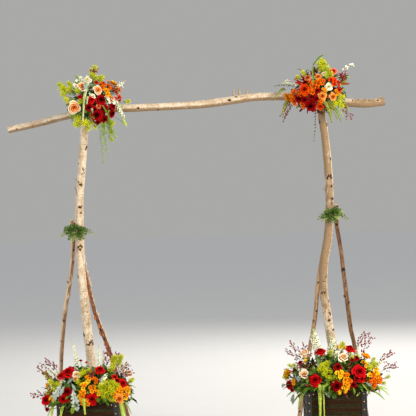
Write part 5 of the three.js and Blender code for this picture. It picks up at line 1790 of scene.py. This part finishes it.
def add_rim_leaves(bench, dome, discs, draw):
    """Leaves and grass that fall over the crate's rim on all sides."""
    kinds = [(BROAD_LEAF, "deep_leaf", 0.056)] * 4 + [(SLIM_LEAF, "fresh_leaf", 0.060),
        (ROUND_LEAF, "sage_leaf", 0.034)]
    for number in range(120):
        out, reach = rim_way(number / 120 * 2 * pi + draw(0.05))
        spot = dome["middle"] + reach * draw(0.86, 1.0) + [0, 0, draw(0.010, 0.035)]
        if not clear_of_poles(spot, 0.02):
            continue
        way = unit(out + shaken(draw, 0.5, 0.5, (-0.55, 0.45)))
        form, finish, size = draw.choice(kinds)
        if not hides_bloom(discs, spot + way * size * 1.2 * LEAF_SHARES, 1.0):
            facing = aim(way, UP + out * 0.6, draw(0.4))
            scatter(bench, form, [spot], [facing], size * draw(0.8, 1.25), draw(), finish)
    for _ in range(34):
        out, reach = rim_way(draw(0, 2 * pi))
        root = dome["middle"] + reach * 0.8 + [0, 0, 0.02]
        tip = root + out * draw(0.06, 0.13) + [0, 0, draw(-0.07, 0.05)]
        if not clear_of_poles(tip, 0.02) or not clear_of_poles(root, 0.02):
            continue
        if not hides_bloom(discs, bent(root, tip, 0.03, 6), 1.05):
            add_blade(bench, root, tip, draw(0.006, 0.011), "grass_blade", draw, 0.03, UP + out)


def add_arrangement(name):
    dome = DOMES[name]
    dome = {**dome, "planter": name.endswith("planter"), "middle": np.array(dome["heart"]) * MM}
    add_greens(name, dome)
    add_roses(name, dome, "red")
    add_roses(name, dome, "peach")
    add_tepals(name, dome)
    add_sprigs(name, dome)


# Floor, light and camera, in metres and degrees.
FLOOR_RINGS = (0.4, 3.0, 8.0, 20.0, 60.0)
EYE = (0.057, -8.8, 1.57)
PITCH_DOWN, ROLL = 0.126, 1.8
SENSOR = 36.0  # millimetres
FOCAL_PIXELS, PHOTO_PIXELS = 1359.6, 416.0


def add_stage():
    around = whole_turn(64)
    points = [(cos(a) * radius, sin(a) * radius, -0.0005) for radius in FLOOR_RINGS for a in around]
    faces = grid_faces(len(FLOOR_RINGS), len(around), True).tolist()
    mesh = bpy.data.meshes.new("floor")
    mesh.from_pydata(points, [], faces + [list(range(len(around)))])
    look = Finish("pale_floor", 0.1)
    place = wire(look.tree, "NewGeometry", {}, "Position")
    ground = mix(place.noise(3, 0.55, 2.5), (0.66, 0.66, 0.655), (0.69, 0.69, 0.685))
    mesh.materials.append(look.done(ground, 0.9, place.noise(3, 0.55, 40.0), 0.1, 0.001))
    add_object("floor", mesh)


def add_light(name, spot, target, size, watts, tint):
    lamp = bpy.data.lights.new(name, "AREA")
    lamp.shape, lamp.size, lamp.energy, lamp.color = "DISK", size, watts, tint
    holder = add_object(name, lamp)
    holder.location = spot
    holder.rotation_euler = (Vector(target) - Vector(spot)).to_track_quat("-Z", "Y").to_euler()


def add_studio():
    add_light("key", (5.6, -4.2, 4.6), (0, 0, 1.2), 2.4, 560, (1.0, 0.93, 0.82))
    add_light("fill", (-4.6, -6.0, 2.6), (0, 0, 1.2), 4.0, 210, (0.98, 0.98, 1.0))
    add_light("back", (2.5, 6.0, 5.0), (0, 0, 1.3), 3.0, 320, (1.0, 0.95, 0.86))
    world = bpy.data.worlds.new("studio")
    bpy.context.scene.world = world
    world.use_nodes = True
    tree = world.node_tree
    lit = tree.nodes["Background"]
    lit.inputs["Color"].default_value = (0.92, 0.93, 0.95, 1)
    lit.inputs["Strength"].default_value = 0.62
    seen = wire(tree, "Background", {"Color": (0.50, 0.50, 0.49), "Strength": 0.80})
    looked_at = wire(tree, "LightPath", {}, "Is Camera Ray")
    both = wire(tree, "MixShader", {0: looked_at, 1: Value(tree, lit.outputs[0]), 2: seen})
    join(tree, both, tree.nodes["World Output"].inputs["Surface"])


def add_camera():
    lens = bpy.data.cameras.new("camera")
    lens.sensor_width, lens.lens, lens.clip_end = SENSOR, FOCAL_PIXELS * SENSOR / PHOTO_PIXELS, 200.0
    camera = add_object("camera", lens)
    camera.location = EYE
    looking = Matrix.Rotation(radians(90 - PITCH_DOWN), 4, "X") @ Matrix.Rotation(radians(-ROLL), 4, "Z")
    camera.rotation_euler = looking.to_euler()
    bpy.context.scene.camera = camera
    bpy.context.scene.view_settings.view_transform = "Standard"


add_poles()
for hand in ("left", "right"):
    add_leg_lashing(hand)
    add_beam_lashing(hand)
    add_lashing_greens(hand)
    add_crate(hand)
    add_arrangement(f"{hand}_bouquet")
    add_arrangement(f"{hand}_planter")
add_stage()
add_studio()
add_camera()
